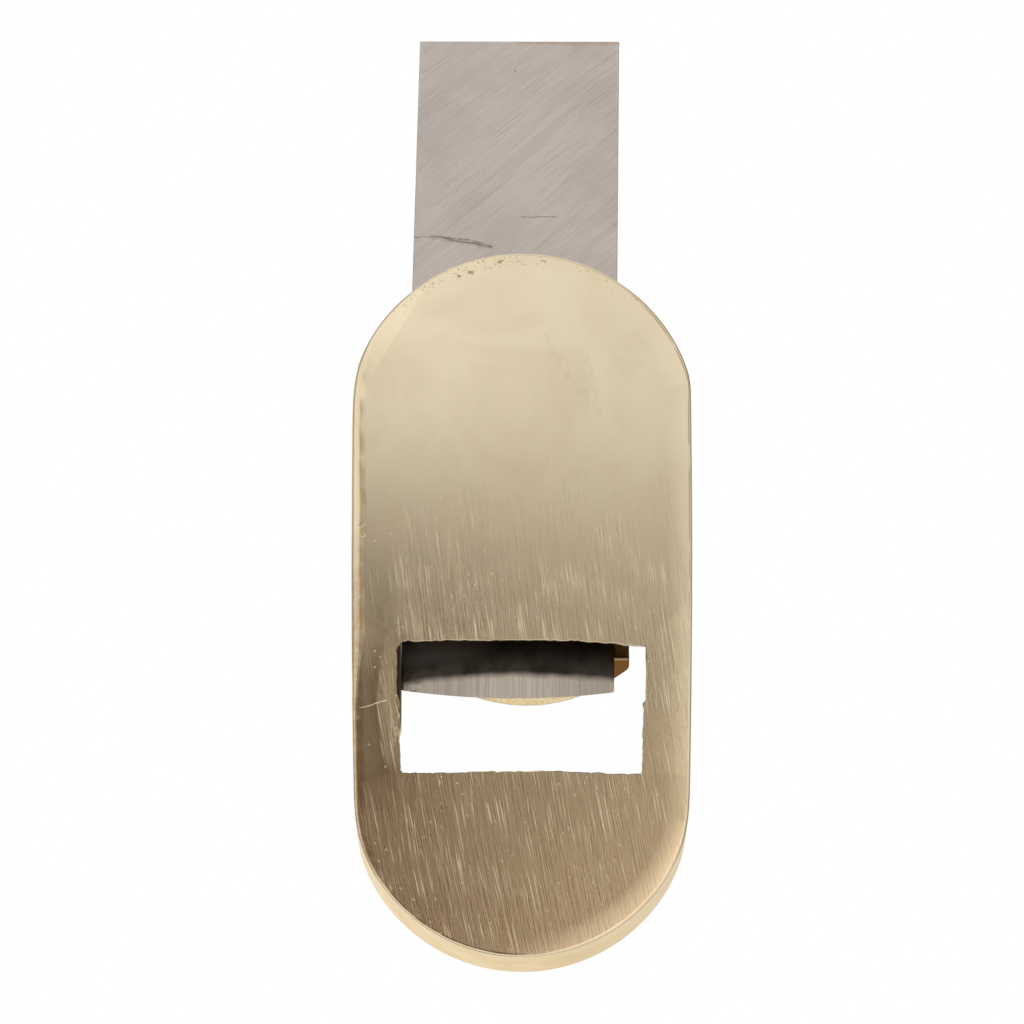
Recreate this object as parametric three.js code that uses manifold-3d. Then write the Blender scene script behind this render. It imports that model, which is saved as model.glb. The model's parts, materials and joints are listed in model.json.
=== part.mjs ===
// Finger plane: a small brass plane for arching instrument plates and other fine hollow work.
// A thick iron lies bevel down on a ramp behind the mouth. A half-round lever cap rocks under a
// cross pin, and a thumbscrew through its tail presses its nose down on the iron.
//
// Millimetres and degrees. The flat sole lies in the plane z = 0 and its centre is the origin.
// The toe points along -Y, the heel and the iron's tail along +Y, and +Z is up.

import * as THREE from "three";
import { mergeVertices, toCreasedNormals } from "three/addons/utils/BufferGeometryUtils.js";
import Module from "manifold-3d";

// Body, a solid brass casting that is milled out
const bodyLength = 40;
const bodyWidth = 19.2;
const widestPlace = 4.6; // heelward of the sole's centre
const toeNarrowing = 0.17; // on each side, where the side runs into the toe
const heelFullness = 0.3; // the heel's circle is this much over half the width
const toeFullness = 0.05; // and the toe's circle
const toeWall = 2.7;
const soleThickness = 3;
const soleEdgeRound = 0.45;
const toeHeight = 7.5;
const heelHeight = 7.8;
const toeLevelLength = 5.5; // the level part of the toe rim, from the toe's end
const cheekLevelLength = 5; // the level top of the cheeks, over the pin
const cheekCover = 1.8; // brass over the cross pin
const mouthHeelEdge = -2.15; // along Y
const mouthLength = 7.53;
const mouthLip = 0.3; // the short upright face between the sole and the bed
const bedAngle = 36;

// Iron, cut from flat tool steel and ground to a cambered edge
const ironWidth = 12;
const ironThickness = 2.4;
const ironLength = 52.8;
const bevelAngle = 30;
const camberRadius = 32.5;
const edgeLift = 1.14; // the cutting edge above the sole, as the iron is set
const ironPlay = 1.8; // the slot between the cheeks is this much wider than the iron
const ironSideGap = 0.08; // the set iron's edge nearly touches the cheek on the +X side
const ironSkew = 0.79; // the iron's tail leans back towards -X

// Lever cap, sawn from round brass bar with its sides filed flat
const capBarRadius = 6.9;
const capWidth = 11.6;
const capHeight = 3.65;
const capNoseLength = 10.5; // from the pin to the nose
const capTailLength = 12.5; // from the pin to the tail
const capTilt = 4; // the tail is raised, so that only the nose bears on the iron
const noseSetback = 3.26; // the nose behind the cutting edge
const capShift = -0.27; // the cap sits this far off the centre line, within its play on the pin

// Cross pin, steel rod driven through both cheeks
const pinDiameter = 3;
const pinDome = 0.15;

// Thumbscrew: a steel stud with a knurled brass knob on its top
const studDiameter = 4;
const studChamfer = 0.2;
const screwPlace = 8.5; // from the pin towards the tail
const knobDiameter = 9;
const knobHeight = 4.6;
const knobCrown = 0.5;
const knobChamfer = 0.5;
const collarDiameter = 6.4;
const collarHeight = 1.2;
const knobStandOff = 1.5; // the collar above the lever cap
const knobBoreDepth = 3.8;
const ridgeCount = 40;
const ridgeDepth = 0.3;

// Clearances
const seatGap = 0.1; // iron on its bed, nose and screw on the iron
const pinFit = 0.05; // pin in the cheeks, all round
const rockFit = 0.15; // lever cap's notch round the pin
const threadFit = 0.1; // stud in the lever cap and in the knob, all round
const overrun = 2; // how far a cutting shape runs past what it cuts

// Facets
const arcSteps = 28;
const sideSteps = 8;
const roundSteps = 4;
const turnSteps = 48;
const coneSteps = 160;
const creaseAngle = THREE.MathUtils.degToRad(30);
const weldDistance = bodyLength * 1e-6;

const wasm = await Module();
wasm.setup();

const radians = THREE.MathUtils.degToRad;
const across = new THREE.Matrix4().makeBasis(
  new THREE.Vector3(0, 1, 0),
  new THREE.Vector3(0, 0, 1),
  new THREE.Vector3(1, 0, 0),
);

// A closed three.js geometry as a solid that can be joined and cut.
function solid(geometry) {
  const bare = geometry.index ? geometry.toNonIndexed() : geometry.clone();
  bare.deleteAttribute("normal");
  bare.deleteAttribute("uv");
  const merged = mergeVertices(bare, weldDistance);
  return new wasm.Manifold(
    new wasm.Mesh({
      numProp: 3,
      vertProperties: merged.attributes.position.array,
      triVerts: new Uint32Array(merged.index.array),
    }),
  );
}

function piece(name, made, color, roughness) {
  const faces = made.getMesh();
  const geometry = new THREE.BufferGeometry();
  geometry.setAttribute("position", new THREE.BufferAttribute(faces.vertProperties, faces.numProp));
  geometry.setIndex(new THREE.BufferAttribute(faces.triVerts, 1));
  const material = new THREE.MeshStandardMaterial({ color, roughness, metalness: 1 });
  const mesh = new THREE.Mesh(toCreasedNormals(geometry, creaseAngle), material);
  mesh.name = name;
  return mesh;
}

// A plan shape raised from one height to another.
function raised(shape, low, high) {
  return solid(
    new THREE.ExtrudeGeometry(shape, {
      depth: high - low,
      bevelEnabled: false,
      curveSegments: arcSteps,
    }).translate(0, 0, low),
  );
}

// A side profile, drawn in Y and Z, made as wide as asked about the centre line.
function widened(shape, width) {
  return solid(
    new THREE.ExtrudeGeometry(shape, { depth: width, bevelEnabled: false, curveSegments: arcSteps })
      .translate(0, 0, -width / 2)
      .applyMatrix4(across),
  );
}

// A round bar along X, or a turned profile about Z.
function crossBar(radius, length) {
  return new THREE.CylinderGeometry(radius, radius, length, turnSteps).rotateZ(Math.PI / 2);
}

function turned(points, steps) {
  return solid(new THREE.LatheGeometry(points, steps).rotateX(Math.PI / 2));
}

function arc(centre, radius, from, to, steps) {
  return new THREE.EllipseCurve(centre.x, centre.y, radius, radius, from, to).getPoints(steps);
}

// The two points where two circles cross, the one nearer the toe first.
function crossings(centreA, radiusA, centreB, radiusB) {
  const line = new THREE.Vector2().subVectors(centreB, centreA);
  const distance = line.length();
  const along = (radiusA ** 2 - radiusB ** 2 + distance ** 2) / (2 * distance);
  const aside = Math.sqrt(radiusA ** 2 - along ** 2);
  const unit = line.divideScalar(distance);
  const foot = centreA.clone().addScaledVector(unit, along);
  const square = new THREE.Vector2(-unit.y, unit.x);
  return [aside, -aside]
    .map((reach) => foot.clone().addScaledVector(square, reach))
    .sort((one, other) => one.y - other.y);
}

// The plan: a round heel and toe joined by very slightly bowed sides. Each end's circle is a
// little larger than half the width, so it meets the sides at a faint corner.
const heelRadius = bodyWidth / 2 + heelFullness;
const toeRadius = bodyWidth / 2 + toeFullness;
const heelCentre = new THREE.Vector2(0, bodyLength / 2 - heelRadius);
const toeCentre = new THREE.Vector2(0, toeRadius - bodyLength / 2);
const bowLength = widestPlace - toeCentre.y;
const sideRadius = (bowLength ** 2 + toeNarrowing ** 2) / (2 * toeNarrowing);
const sideCentre = new THREE.Vector2(bodyWidth / 2 - sideRadius, widestPlace);

function planShape() {
  const [, heelCorner] = crossings(heelCentre, heelRadius, sideCentre, sideRadius);
  const [toeCorner] = crossings(toeCentre, toeRadius, sideCentre, sideRadius);
  const heelStart = Math.atan2(heelCorner.y - heelCentre.y, heelCorner.x);
  const toeStart = Math.atan2(toeCorner.y - toeCentre.y, toeCorner.x);
  const sideLow = Math.atan2(toeCorner.y - sideCentre.y, toeCorner.x - sideCentre.x);
  const sideHigh = Math.atan2(heelCorner.y - sideCentre.y, heelCorner.x - sideCentre.x);
  const mirrored = new THREE.Vector2(-sideCentre.x, sideCentre.y);
  return new THREE.Shape([
    ...arc(sideCentre, sideRadius, sideLow, sideHigh, sideSteps).slice(0, -1),
    ...arc(heelCentre, heelRadius, heelStart, Math.PI - heelStart, arcSteps).slice(0, -1),
    ...arc(mirrored, sideRadius, Math.PI - sideHigh, Math.PI - sideLow, sideSteps).slice(0, -1),
    ...arc(toeCentre, toeRadius, Math.PI - toeStart, 2 * Math.PI + toeStart, arcSteps).slice(0, -1),
  ]);
}

// The bed is a plane tilted about X. Its frame has Y up the ramp and Z square to it.
const cavityWidth = ironWidth + ironPlay;
const bedTilt = radians(bedAngle);
const bedFoot = mouthHeelEdge - mouthLip / Math.tan(bedTilt);
const ironTop = seatGap + ironThickness;
const edgePlace = (edgeLift - ironTop * Math.cos(bedTilt)) / Math.sin(bedTilt);

// The lever cap's frame has its origin on the pin, level with the cap's crown.
const tilt = radians(capTilt);
const pinPlace =
  edgePlace + noseSetback + capNoseLength * Math.cos(tilt) - capHeight * Math.sin(tilt);
const pinHeight =
  ironTop + seatGap + capNoseLength * Math.sin(tilt) + capHeight * Math.cos(tilt);
const pinY = bedFoot + pinPlace * Math.cos(bedTilt) - pinHeight * Math.sin(bedTilt);
const pinZ = pinPlace * Math.sin(bedTilt) + pinHeight * Math.cos(bedTilt);
const cheekTop = pinZ + pinDiameter / 2 + cheekCover;

// Seen from the side, the rim is level round the toe, sweeps up to the cheeks and falls to the heel.
function sideShape() {
  const toeEnd = -bodyLength / 2 - overrun;
  const heelEnd = bodyLength / 2;
  const riseFoot = toeLevelLength - bodyLength / 2;
  const levelFront = pinY - cheekLevelLength / 2;
  const levelBack = pinY + cheekLevelLength / 2;
  const riseEaseShare = 0.5;
  const fallEaseShares = [0.35, 0.62];
  const rise = levelFront - riseFoot;
  const fall = heelEnd - levelBack;
  return new THREE.Shape()
    .moveTo(toeEnd, -overrun)
    .lineTo(heelEnd + overrun, -overrun)
    .lineTo(heelEnd + overrun, heelHeight)
    .lineTo(heelEnd, heelHeight)
    .bezierCurveTo(
      levelBack + fall * fallEaseShares[1],
      heelHeight,
      levelBack + fall * fallEaseShares[0],
      cheekTop,
      levelBack,
      cheekTop,
    )
    .lineTo(levelFront, cheekTop)
    .bezierCurveTo(
      levelFront - rise * riseEaseShare,
      cheekTop,
      riseFoot + rise * riseEaseShare,
      toeHeight,
      riseFoot,
      toeHeight,
    )
    .lineTo(toeEnd, toeHeight);
}

// The chip well in front of the iron: straight sides and a half-round end, one wall inside the toe.
function wellShape() {
  const half = cavityWidth / 2;
  const roundCentre = new THREE.Vector2(0, half + toeWall - bodyLength / 2);
  return new THREE.Shape([
    new THREE.Vector2(half, mouthHeelEdge),
    new THREE.Vector2(-half, mouthHeelEdge),
    ...arc(roundCentre, half, Math.PI, 2 * Math.PI, arcSteps),
  ]);
}

// The slot between the cheeks, over the bed.
function slotShape() {
  const back = bodyLength / 2 + overrun;
  const rampTop = (back - bedFoot) * Math.tan(bedTilt);
  const roof = Math.max(rampTop, cheekTop) + overrun;
  return new THREE.Shape()
    .moveTo(mouthHeelEdge, mouthLip)
    .lineTo(back, rampTop)
    .lineTo(back, roof)
    .lineTo(mouthHeelEdge, roof);
}

function mouthShape() {
  const half = cavityWidth / 2;
  const toeEdge = mouthHeelEdge - mouthLength;
  return new THREE.Shape()
    .moveTo(-half, toeEdge)
    .lineTo(half, toeEdge)
    .lineTo(half, mouthHeelEdge)
    .lineTo(-half, mouthHeelEdge);
}

function makeBody() {
  const roof = cheekTop + overrun;
  const blank = solid(
    new THREE.ExtrudeGeometry(planShape(), {
      depth: roof - soleEdgeRound,
      bevelThickness: soleEdgeRound,
      bevelSize: soleEdgeRound,
      bevelOffset: -soleEdgeRound,
      bevelSegments: roundSteps,
    }).translate(0, 0, soleEdgeRound),
  );
  const pinHole = crossBar(pinDiameter / 2 + pinFit, bodyWidth + overrun).translate(0, pinY, pinZ);
  return blank
    .intersect(widened(sideShape(), bodyWidth + overrun))
    .subtract(raised(wellShape(), soleThickness, roof))
    .subtract(widened(slotShape(), cavityWidth))
    .subtract(raised(mouthShape(), -overrun, soleThickness + overrun))
    .subtract(solid(pinHole));
}

// The pin's ends are dressed to low domes, level with the outside of the cheeks.
function makePin() {
  const half = bodyWidth / 2;
  const radius = pinDiameter / 2;
  const endRadius = (radius ** 2 + pinDome ** 2) / (2 * pinDome);
  const spread = Math.asin(radius / endRadius);
  const end = arc(
    new THREE.Vector2(0, half - endRadius),
    endRadius,
    Math.PI / 2 - spread,
    Math.PI / 2,
    roundSteps,
  );
  const outline = [...end.map((point) => new THREE.Vector2(point.x, -point.y)).reverse(), ...end];
  outline[0].x = 0;
  outline[outline.length - 1].x = 0;
  return solid(new THREE.LatheGeometry(outline, turnSteps).rotateZ(Math.PI / 2));
}

// The iron lies on its lower face, with the middle of the edge at the origin and the tail along +Y.
// The bevel is part of a cone about an axis square to the iron, which gives the camber.
function makeIron() {
  const half = ironWidth / 2;
  const bar = new THREE.Shape()
    .moveTo(-half, 0)
    .lineTo(half, 0)
    .lineTo(half, ironLength)
    .lineTo(-half, ironLength);
  const front = new THREE.Shape()
    .moveTo(-half - overrun, -overrun)
    .lineTo(half + overrun, -overrun)
    .lineTo(half + overrun, camberRadius)
    .lineTo(-half - overrun, camberRadius);
  const slope = 1 / Math.tan(radians(bevelAngle));
  const cone = turned(
    [
      new THREE.Vector2(0, -overrun),
      new THREE.Vector2(camberRadius - (ironThickness + overrun) * slope, -overrun),
      new THREE.Vector2(camberRadius + overrun * slope, ironThickness + overrun),
      new THREE.Vector2(0, ironThickness + overrun),
    ],
    coneSteps,
  ).translate([0, camberRadius, 0]);
  return raised(bar, 0, ironThickness).subtract(raised(front, -overrun, ironThickness).subtract(cone));
}

// The lever cap is a slice off the side of a round bar, narrowed to its width, square at the nose
// and rounded at the tail, with a half-round notch across its back for the pin and a tapped hole
// near its tail.
function makeLeverCap() {
  const half = capWidth / 2;
  const halfChord = Math.sqrt(capBarRadius ** 2 - (capBarRadius - capHeight) ** 2);
  const spread = Math.asin(halfChord / capBarRadius);
  const section = new THREE.Shape(
    arc(
      new THREE.Vector2(0, -capBarRadius),
      capBarRadius,
      Math.PI / 2 - spread,
      Math.PI / 2 + spread,
      arcSteps,
    ),
  );
  const capLength = capNoseLength + capTailLength;
  const bar = solid(
    new THREE.ExtrudeGeometry(section, { depth: capLength, bevelEnabled: false })
      .rotateX(Math.PI / 2)
      .translate(0, capTailLength, 0),
  );
  const tailCentre = new THREE.Vector2(0, capTailLength - half);
  const plan = new THREE.Shape([
    new THREE.Vector2(half, -capNoseLength - overrun),
    ...arc(tailCentre, half, 0, Math.PI, arcSteps),
    new THREE.Vector2(-half, -capNoseLength - overrun),
  ]);
  const hole = new THREE.CylinderGeometry(
    studDiameter / 2 + threadFit,
    studDiameter / 2 + threadFit,
    2 * (capHeight + overrun),
    turnSteps,
  )
    .rotateX(Math.PI / 2)
    .translate(0, screwPlace, 0);
  return bar
    .intersect(raised(plan, -capHeight - overrun, overrun))
    .subtract(solid(crossBar(pinDiameter / 2 + rockFit, bodyWidth)))
    .subtract(solid(hole));
}

// The screw's frame has its origin on the crown of the lever cap and Z along the screw.
const studReach =
  (pinHeight + screwPlace * Math.sin(tilt) - ironTop - seatGap) / Math.cos(tilt);
const knobFoot = knobStandOff;

function makeStud() {
  const radius = studDiameter / 2;
  const tip = arc(new THREE.Vector2(0, radius - studReach), radius, -Math.PI / 2, 0, 2 * roundSteps);
  const top = knobFoot + knobBoreDepth - threadFit;
  tip[0].x = 0;
  return turned(
    [
      ...tip,
      new THREE.Vector2(radius, top - studChamfer),
      new THREE.Vector2(radius - studChamfer, top),
      new THREE.Vector2(0, top),
    ],
    turnSteps,
  );
}

// The knob is turned with a collar, a chamfered rim and a low crown, and has a straight knurl.
function makeKnob() {
  const radius = knobDiameter / 2;
  const collar = collarDiameter / 2;
  const foot = knobFoot;
  const shoulder = foot + collarHeight;
  const top = shoulder + knobHeight;
  const crownRadius = ((radius - knobChamfer) ** 2 + knobCrown ** 2) / (2 * knobCrown);
  const spread = Math.asin((radius - knobChamfer) / crownRadius);
  const crown = arc(
    new THREE.Vector2(0, top - crownRadius),
    crownRadius,
    Math.PI / 2 - spread,
    Math.PI / 2,
    2 * roundSteps,
  );
  crown[crown.length - 1].x = 0;
  const blank = turned(
    [
      new THREE.Vector2(0, foot),
      new THREE.Vector2(collar, foot),
      new THREE.Vector2(collar, shoulder),
      new THREE.Vector2(radius - knobChamfer, shoulder),
      new THREE.Vector2(radius, shoulder + knobChamfer),
      new THREE.Vector2(radius, top - knobCrown - knobChamfer),
      ...crown,
    ],
    2 * ridgeCount,
  );
  const ridges = [];
  for (let i = 0; i < 2 * ridgeCount; i++) {
    const reach = i % 2 ? radius : radius - ridgeDepth;
    const turn = (i * Math.PI) / ridgeCount;
    ridges.push(new THREE.Vector2(reach * Math.cos(turn), reach * Math.sin(turn)));
  }
  const bore = [
    new THREE.Vector2(0, foot - overrun),
    new THREE.Vector2(studDiameter / 2 + threadFit, foot - overrun),
    new THREE.Vector2(studDiameter / 2 + threadFit, foot + knobBoreDepth),
    new THREE.Vector2(0, foot + knobBoreDepth),
  ];
  return blank
    .intersect(raised(new THREE.Shape(ridges), foot - overrun, top + overrun))
    .subtract(turned(bore, turnSteps));
}

// Assembly
const plane = new THREE.Group();
plane.add(piece("body", makeBody(), 0xc2a869, 0.38));

const crossPin = piece("cross_pin", makePin(), 0xa9a6a1, 0.3);
crossPin.position.set(0, pinY, pinZ);
plane.add(crossPin);

const bed = new THREE.Group();
bed.position.set(0, bedFoot, 0);
bed.rotation.x = bedTilt;
plane.add(bed);

const iron = piece("iron", makeIron(), 0xaaa6a0, 0.35);
iron.position.set(ironPlay / 2 - ironSideGap, edgePlace, seatGap);
iron.rotation.z = radians(ironSkew);
bed.add(iron);

const cap = new THREE.Group();
cap.position.set(capShift, pinPlace, pinHeight);
cap.rotation.x = tilt;
cap.add(piece("lever_cap", makeLeverCap(), 0xc9a75b, 0.4));
bed.add(cap);

const screw = new THREE.Group();
screw.position.set(0, screwPlace, 0);
screw.add(piece("screw_stud", makeStud(), 0x9c9a96, 0.4));
screw.add(piece("screw_knob", makeKnob(), 0xcdb06a, 0.35));
cap.add(screw);

export default plane;
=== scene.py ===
import bmesh
import bpy
import json
import math
from mathutils import Matrix, Vector, noise


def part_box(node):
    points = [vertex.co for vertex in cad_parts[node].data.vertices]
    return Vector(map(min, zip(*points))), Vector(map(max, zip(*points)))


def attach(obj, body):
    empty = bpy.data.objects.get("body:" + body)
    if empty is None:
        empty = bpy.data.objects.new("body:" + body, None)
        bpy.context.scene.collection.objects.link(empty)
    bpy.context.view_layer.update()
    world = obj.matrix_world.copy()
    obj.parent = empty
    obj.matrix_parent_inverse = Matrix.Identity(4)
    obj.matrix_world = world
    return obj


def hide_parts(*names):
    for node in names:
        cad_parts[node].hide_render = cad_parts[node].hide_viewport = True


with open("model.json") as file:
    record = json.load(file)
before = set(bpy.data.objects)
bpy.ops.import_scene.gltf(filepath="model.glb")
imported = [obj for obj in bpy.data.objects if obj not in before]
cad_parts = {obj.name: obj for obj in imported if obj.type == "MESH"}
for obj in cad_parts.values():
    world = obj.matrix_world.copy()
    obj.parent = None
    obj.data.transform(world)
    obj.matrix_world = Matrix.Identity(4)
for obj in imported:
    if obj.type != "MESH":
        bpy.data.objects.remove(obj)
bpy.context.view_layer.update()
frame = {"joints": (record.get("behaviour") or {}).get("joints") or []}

MM = 0.001
joints = {joint["name"]: joint for joint in frame["joints"]}


def frame_box(node):
    """A node's lowest and highest corners in millimetres."""
    return [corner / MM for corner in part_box(node)]


def joint_place(name):
    return Vector(joints[name]["pos_m"]) / MM


body_high = frame_box("body")[1]
pin_place = joint_place("cap_rock")
slide_axis = Vector(joints["iron_slide"]["axis"])
half_length, half_width = body_high.y, body_high.x
bed_tilt = math.atan2(slide_axis.z, slide_axis.y)
heel_radius = half_width + 0.3
toe_radius = half_width + 0.05
widest_place = 4.6
toe_narrowing = 0.17
cavity_half = 6.9
toe_wall = 2.7
sole_thickness = 3
toe_height, heel_height = 7.5, 7.8
toe_level = 5.5
cheek_level = 5
mouth_heel = -2.15
mouth_toe = mouth_heel - 7.53
mouth_lip = 0.3
bed_foot = mouth_heel - mouth_lip / math.tan(bed_tilt)
sole_margin = 0.12
rim_round = 0.28
inner_round = 0.16
wall_flare = 0.34
mouth_break = 0.03
wide_corner, tight_corner = 0.42, 0.17
wall_dent = 0.025
side_step_place = -5.6
rest_start, rest_end = -6.4, -5.4
pin_hole_radius = 1.55
toe_centre = toe_radius - half_length
heel_centre = half_length - heel_radius
bow_length = widest_place - toe_centre
side_radius = (bow_length ** 2 + toe_narrowing ** 2) / (2 * toe_narrowing)


def side_at(y):
    """The half width of the bowed side at a place along the body."""
    return half_width - side_radius + math.sqrt(side_radius ** 2 - (y - widest_place) ** 2)


def outline_point(inner):
    """The point of the outline that faces a point of the cavity's edge."""
    if toe_centre <= inner.y <= heel_centre:
        return Vector((math.copysign(side_at(inner.y), inner.x), inner.y))
    centre, radius = (toe_centre, toe_radius) if inner.y < toe_centre else (heel_centre, heel_radius)
    way = Vector((inner.x, inner.y - centre)).normalized()
    reach = radius
    for _ in range(4):
        reach = min(radius, side_at(centre + way.y * reach) / max(abs(way.x), 0.05))
    return Vector((way.x * reach, centre + way.y * reach))


def halved(low, high, is_short, halvings):
    """The place between two where is_short stops being true, found by halving."""
    for _ in range(halvings):
        middle = (low + high) / 2
        low, high = (middle, high) if is_short(middle) else (low, middle)
    return middle


def bezier_height(y, start, end, ease_start, ease_end):
    """The height at y of a sweep between two level stretches. start and end are (y, z)."""
    def is_short(t):
        reach = 3 * (1 - t) ** 2 * t * ease_start + 3 * (1 - t) * t * t * (1 - ease_end) + t ** 3
        return reach * (end[0] - start[0]) < y - start[0]

    t = halved(0.0, 1.0, is_short, 30)
    return start[1] + (end[1] - start[1]) * (3 * (1 - t) * t * t + t ** 3)


cheek_top = body_high.z
rise_start = (toe_level - half_length, toe_height)
rise_end = (pin_place.y - cheek_level / 2, cheek_top)
fall_start = (pin_place.y + cheek_level / 2, cheek_top)
fall_end = (half_length, heel_height)
rise_ease, fall_ease = (0.5, 0.5), (0.35, 0.38)


def rim_height(y):
    """The rim seen from the side: level toe, sweep up to the cheeks, sweep down to the heel."""
    if y <= rise_start[0]:
        return toe_height
    if y < rise_end[0]:
        return bezier_height(y, rise_start, rise_end, *rise_ease)
    if y <= fall_start[0]:
        return cheek_top
    return bezier_height(min(y, half_length), fall_start, fall_end, *fall_ease)


def bed_height(y):
    return (y - bed_foot) * math.tan(bed_tilt)


def smooth_step(value, start, end):
    share = min(1, max(0, (value - start) / (end - start)))
    return share * share * (3 - 2 * share)


def wall_place(height, side, y):
    """The well's wall at a height, side and place. It leans out a little towards the top, but stays
    upright beside the iron, where the iron rests against it."""
    lean = wall_flare * (height / cheek_top + 0.12)
    beside_iron = smooth_step(side, -1, 1) * smooth_step(y, rest_start, rest_end)
    return side * (cavity_half + lean * (1 - beside_iron))


def crowded(start, end, steps, crowd=0.3):
    """Places between two ends, closer together near both."""
    shares = [i / steps for i in range(steps + 1)]
    eased = [(1 - crowd) * s + crowd * (0.5 - 0.5 * math.cos(math.pi * s)) for s in shares]
    return [start + (end - start) * s for s in eased]


crest = halved(fall_start[0], half_length, lambda y: bed_height(y) < rim_height(y), 40)
mouth_steps, bed_steps, across_steps, toe_steps = 84, 44, 120, 64
well_centre = cavity_half + toe_wall - half_length
side_places = [well_centre] + crowded(mouth_toe, mouth_heel, mouth_steps)
side_places += crowded(mouth_heel, crest, bed_steps)[1:]
across_shares = crowded(1, -1, across_steps)
toe_half = wall_place(rim_height(well_centre), 1, well_centre)


def across_at(height, y):
    """Places across the cavity from one wall to the other."""
    left, right = wall_place(height, 1, y), wall_place(height, -1, y)
    return [(left + right) / 2 + share * (left - right) / 2 for share in across_shares]


cavity_edge = [Vector((wall_place(rim_height(y), 1, y), y)) for y in side_places]
cavity_edge += [Vector((x, crest)) for x in across_at(rim_height(crest), crest)[1:-1]]
cavity_edge += [Vector((wall_place(rim_height(y), -1, y), y)) for y in reversed(side_places)]
for i in range(1, toe_steps):
    turn = math.pi + math.pi * i / toe_steps
    cavity_edge.append(Vector((toe_half * math.cos(turn), well_centre + toe_half * math.sin(turn))))
count = len(cavity_edge)
side_count = len(side_places)
rear_first, rear_last = side_count - 1, side_count - 1 + across_steps
outline = [outline_point(point) for point in cavity_edge]

# The corners where the ends' circles meet the sides are eased one by one, each as much as it needed.
eased_corners = ((1, 12.5, 14), (-1, 12.5, 3), (1, -12.4, 12), (-1, -12.4, 12))
ease_reach = 3
for side, corner_place, passes in eased_corners:
    for _ in range(passes):
        before = [point.copy() for point in outline]
        for i, point in enumerate(before):
            near = 1 - abs(point.y - corner_place) / ease_reach
            if point.x * side > 0 and near > 0:
                middle = (before[i - 1] + before[(i + 1) % count]) / 2
                outline[i] = point.lerp(middle, 0.5 * near)


def outward(points, i):
    """The outward normal of a closed line of points that runs anticlockwise."""
    along = points[(i + 1) % len(points)] - points[i - 1]
    return Vector((along.y, -along.x)).normalized()


normals = [outward(outline, i) for i in range(count)]


def waver(x, y, scale, seed):
    """Smooth noise from -1 to 1 over the plan."""
    return noise.noise(Vector((x / scale, y / scale, seed)))


def ragged(along, seed):
    """Long waves, short waves and the odd nick, as a coarse file leaves an edge."""
    long_wave = noise.noise(Vector((along / 1.3, seed, 0.5)))
    short_wave = noise.noise(Vector((along / 0.42, seed, 5.5)))
    nick = max(0, noise.noise(Vector((along / 0.2, seed, 9.5))) - 0.15)
    return 0.04 * long_wave + 0.04 * short_wave + 0.09 * nick


def filed(x, y):
    """Moves a point of the mouth's true rectangle to where hand filing left it."""
    share = x / cavity_half
    along = (y - mouth_heel) / (mouth_toe - mouth_heel)
    spot = Vector((x, y))
    corner = Vector((math.copysign(cavity_half, x), mouth_heel if along < 0.5 else mouth_toe))
    inward = Vector((-math.copysign(1, x), -1 if along < 0.5 else 1))
    size = wide_corner if x > 0 and along < 0.5 else tight_corner
    away = Vector((abs(x - corner.x), abs(y - corner.y)))
    if max(away) < size:
        turn = math.pi / 4 * (1 + (away.x - away.y) / size)
        spot = corner + Vector((inward.x * size * (1 - math.cos(turn)),
                                inward.y * size * (1 - math.sin(turn))))

    # Each number below is a distance in millimetres or a share of the way, read off the photograph.
    right_wall = 0.1 - 0.06 * along / 0.45 if along < 0.45 else -0.1 - 0.07 * (along - 0.45) / 0.55
    if along > 0.4:
        right_wall += 0.06 * smooth_step(y, side_step_place - 0.12, side_step_place + 0.02)
    left_wall = 0.1 * smooth_step(along, 0, 0.1) - 0.17 * smooth_step(along, 0.33, 0.5)
    left_wall -= 0.07 * smooth_step(along, 0.8, 1)
    heel_edge = 0.05 - 0.32 * smooth_step(-share, 0.35, 1) - 0.06 * smooth_step(share, 0.6, 1)
    toe_edge = -0.18 + 0.17 * smooth_step(-share, 0.1, 1) + 0.1 * smooth_step(share, 0.1, 1)
    on_side = smooth_step(abs(share), 0.97, 1)
    on_heel = smooth_step(-along, -0.04, 0)
    on_toe = smooth_step(along, 0.96, 1)
    wall = (right_wall if x < 0 else left_wall) + ragged(y, 2 + math.copysign(1, x))
    spot.x -= inward.x * on_side * wall
    spot.y += on_heel * (heel_edge + ragged(x, 7)) - on_toe * (toe_edge + ragged(x, 11))
    return spot


def new_mesh_object(name, bm, materials, own_frame=None):
    """Turns a bmesh in millimetres, drawn in a piece's own frame if one is given, into an object."""
    bmesh.ops.recalc_face_normals(bm, faces=bm.faces)
    if own_frame:
        bmesh.ops.transform(bm, matrix=own_frame, verts=bm.verts)
    bmesh.ops.scale(bm, vec=(MM, MM, MM), verts=bm.verts)
    mesh = bpy.data.meshes.new(name)
    bm.to_mesh(mesh)
    bm.free()
    for material in materials:
        mesh.materials.append(material)
    thing = bpy.data.objects.new(name, mesh)
    bpy.context.scene.collection.objects.link(thing)
    return thing


def shade(thing, angle=32):
    """Smooth shading that keeps edges sharper than the angle, with flat faces kept flat."""
    thing.data.shade_smooth()
    thing.data.set_sharp_from_angle(angle=math.radians(angle))
    keeper = thing.modifiers.new("flat faces", "WEIGHTED_NORMAL")
    keeper.keep_sharp = True


def cut(thing, cutter):
    """Cuts one object by another, and drops the cutter."""
    knife = thing.modifiers.new("cut", "BOOLEAN")
    knife.operation, knife.solver, knife.object = "DIFFERENCE", "EXACT", cutter
    bpy.context.view_layer.update()
    seen = thing.evaluated_get(bpy.context.evaluated_depsgraph_get())
    mesh = bpy.data.meshes.new_from_object(seen)
    thing.modifiers.clear()
    thing.data = mesh
    bpy.data.objects.remove(cutter)


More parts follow.
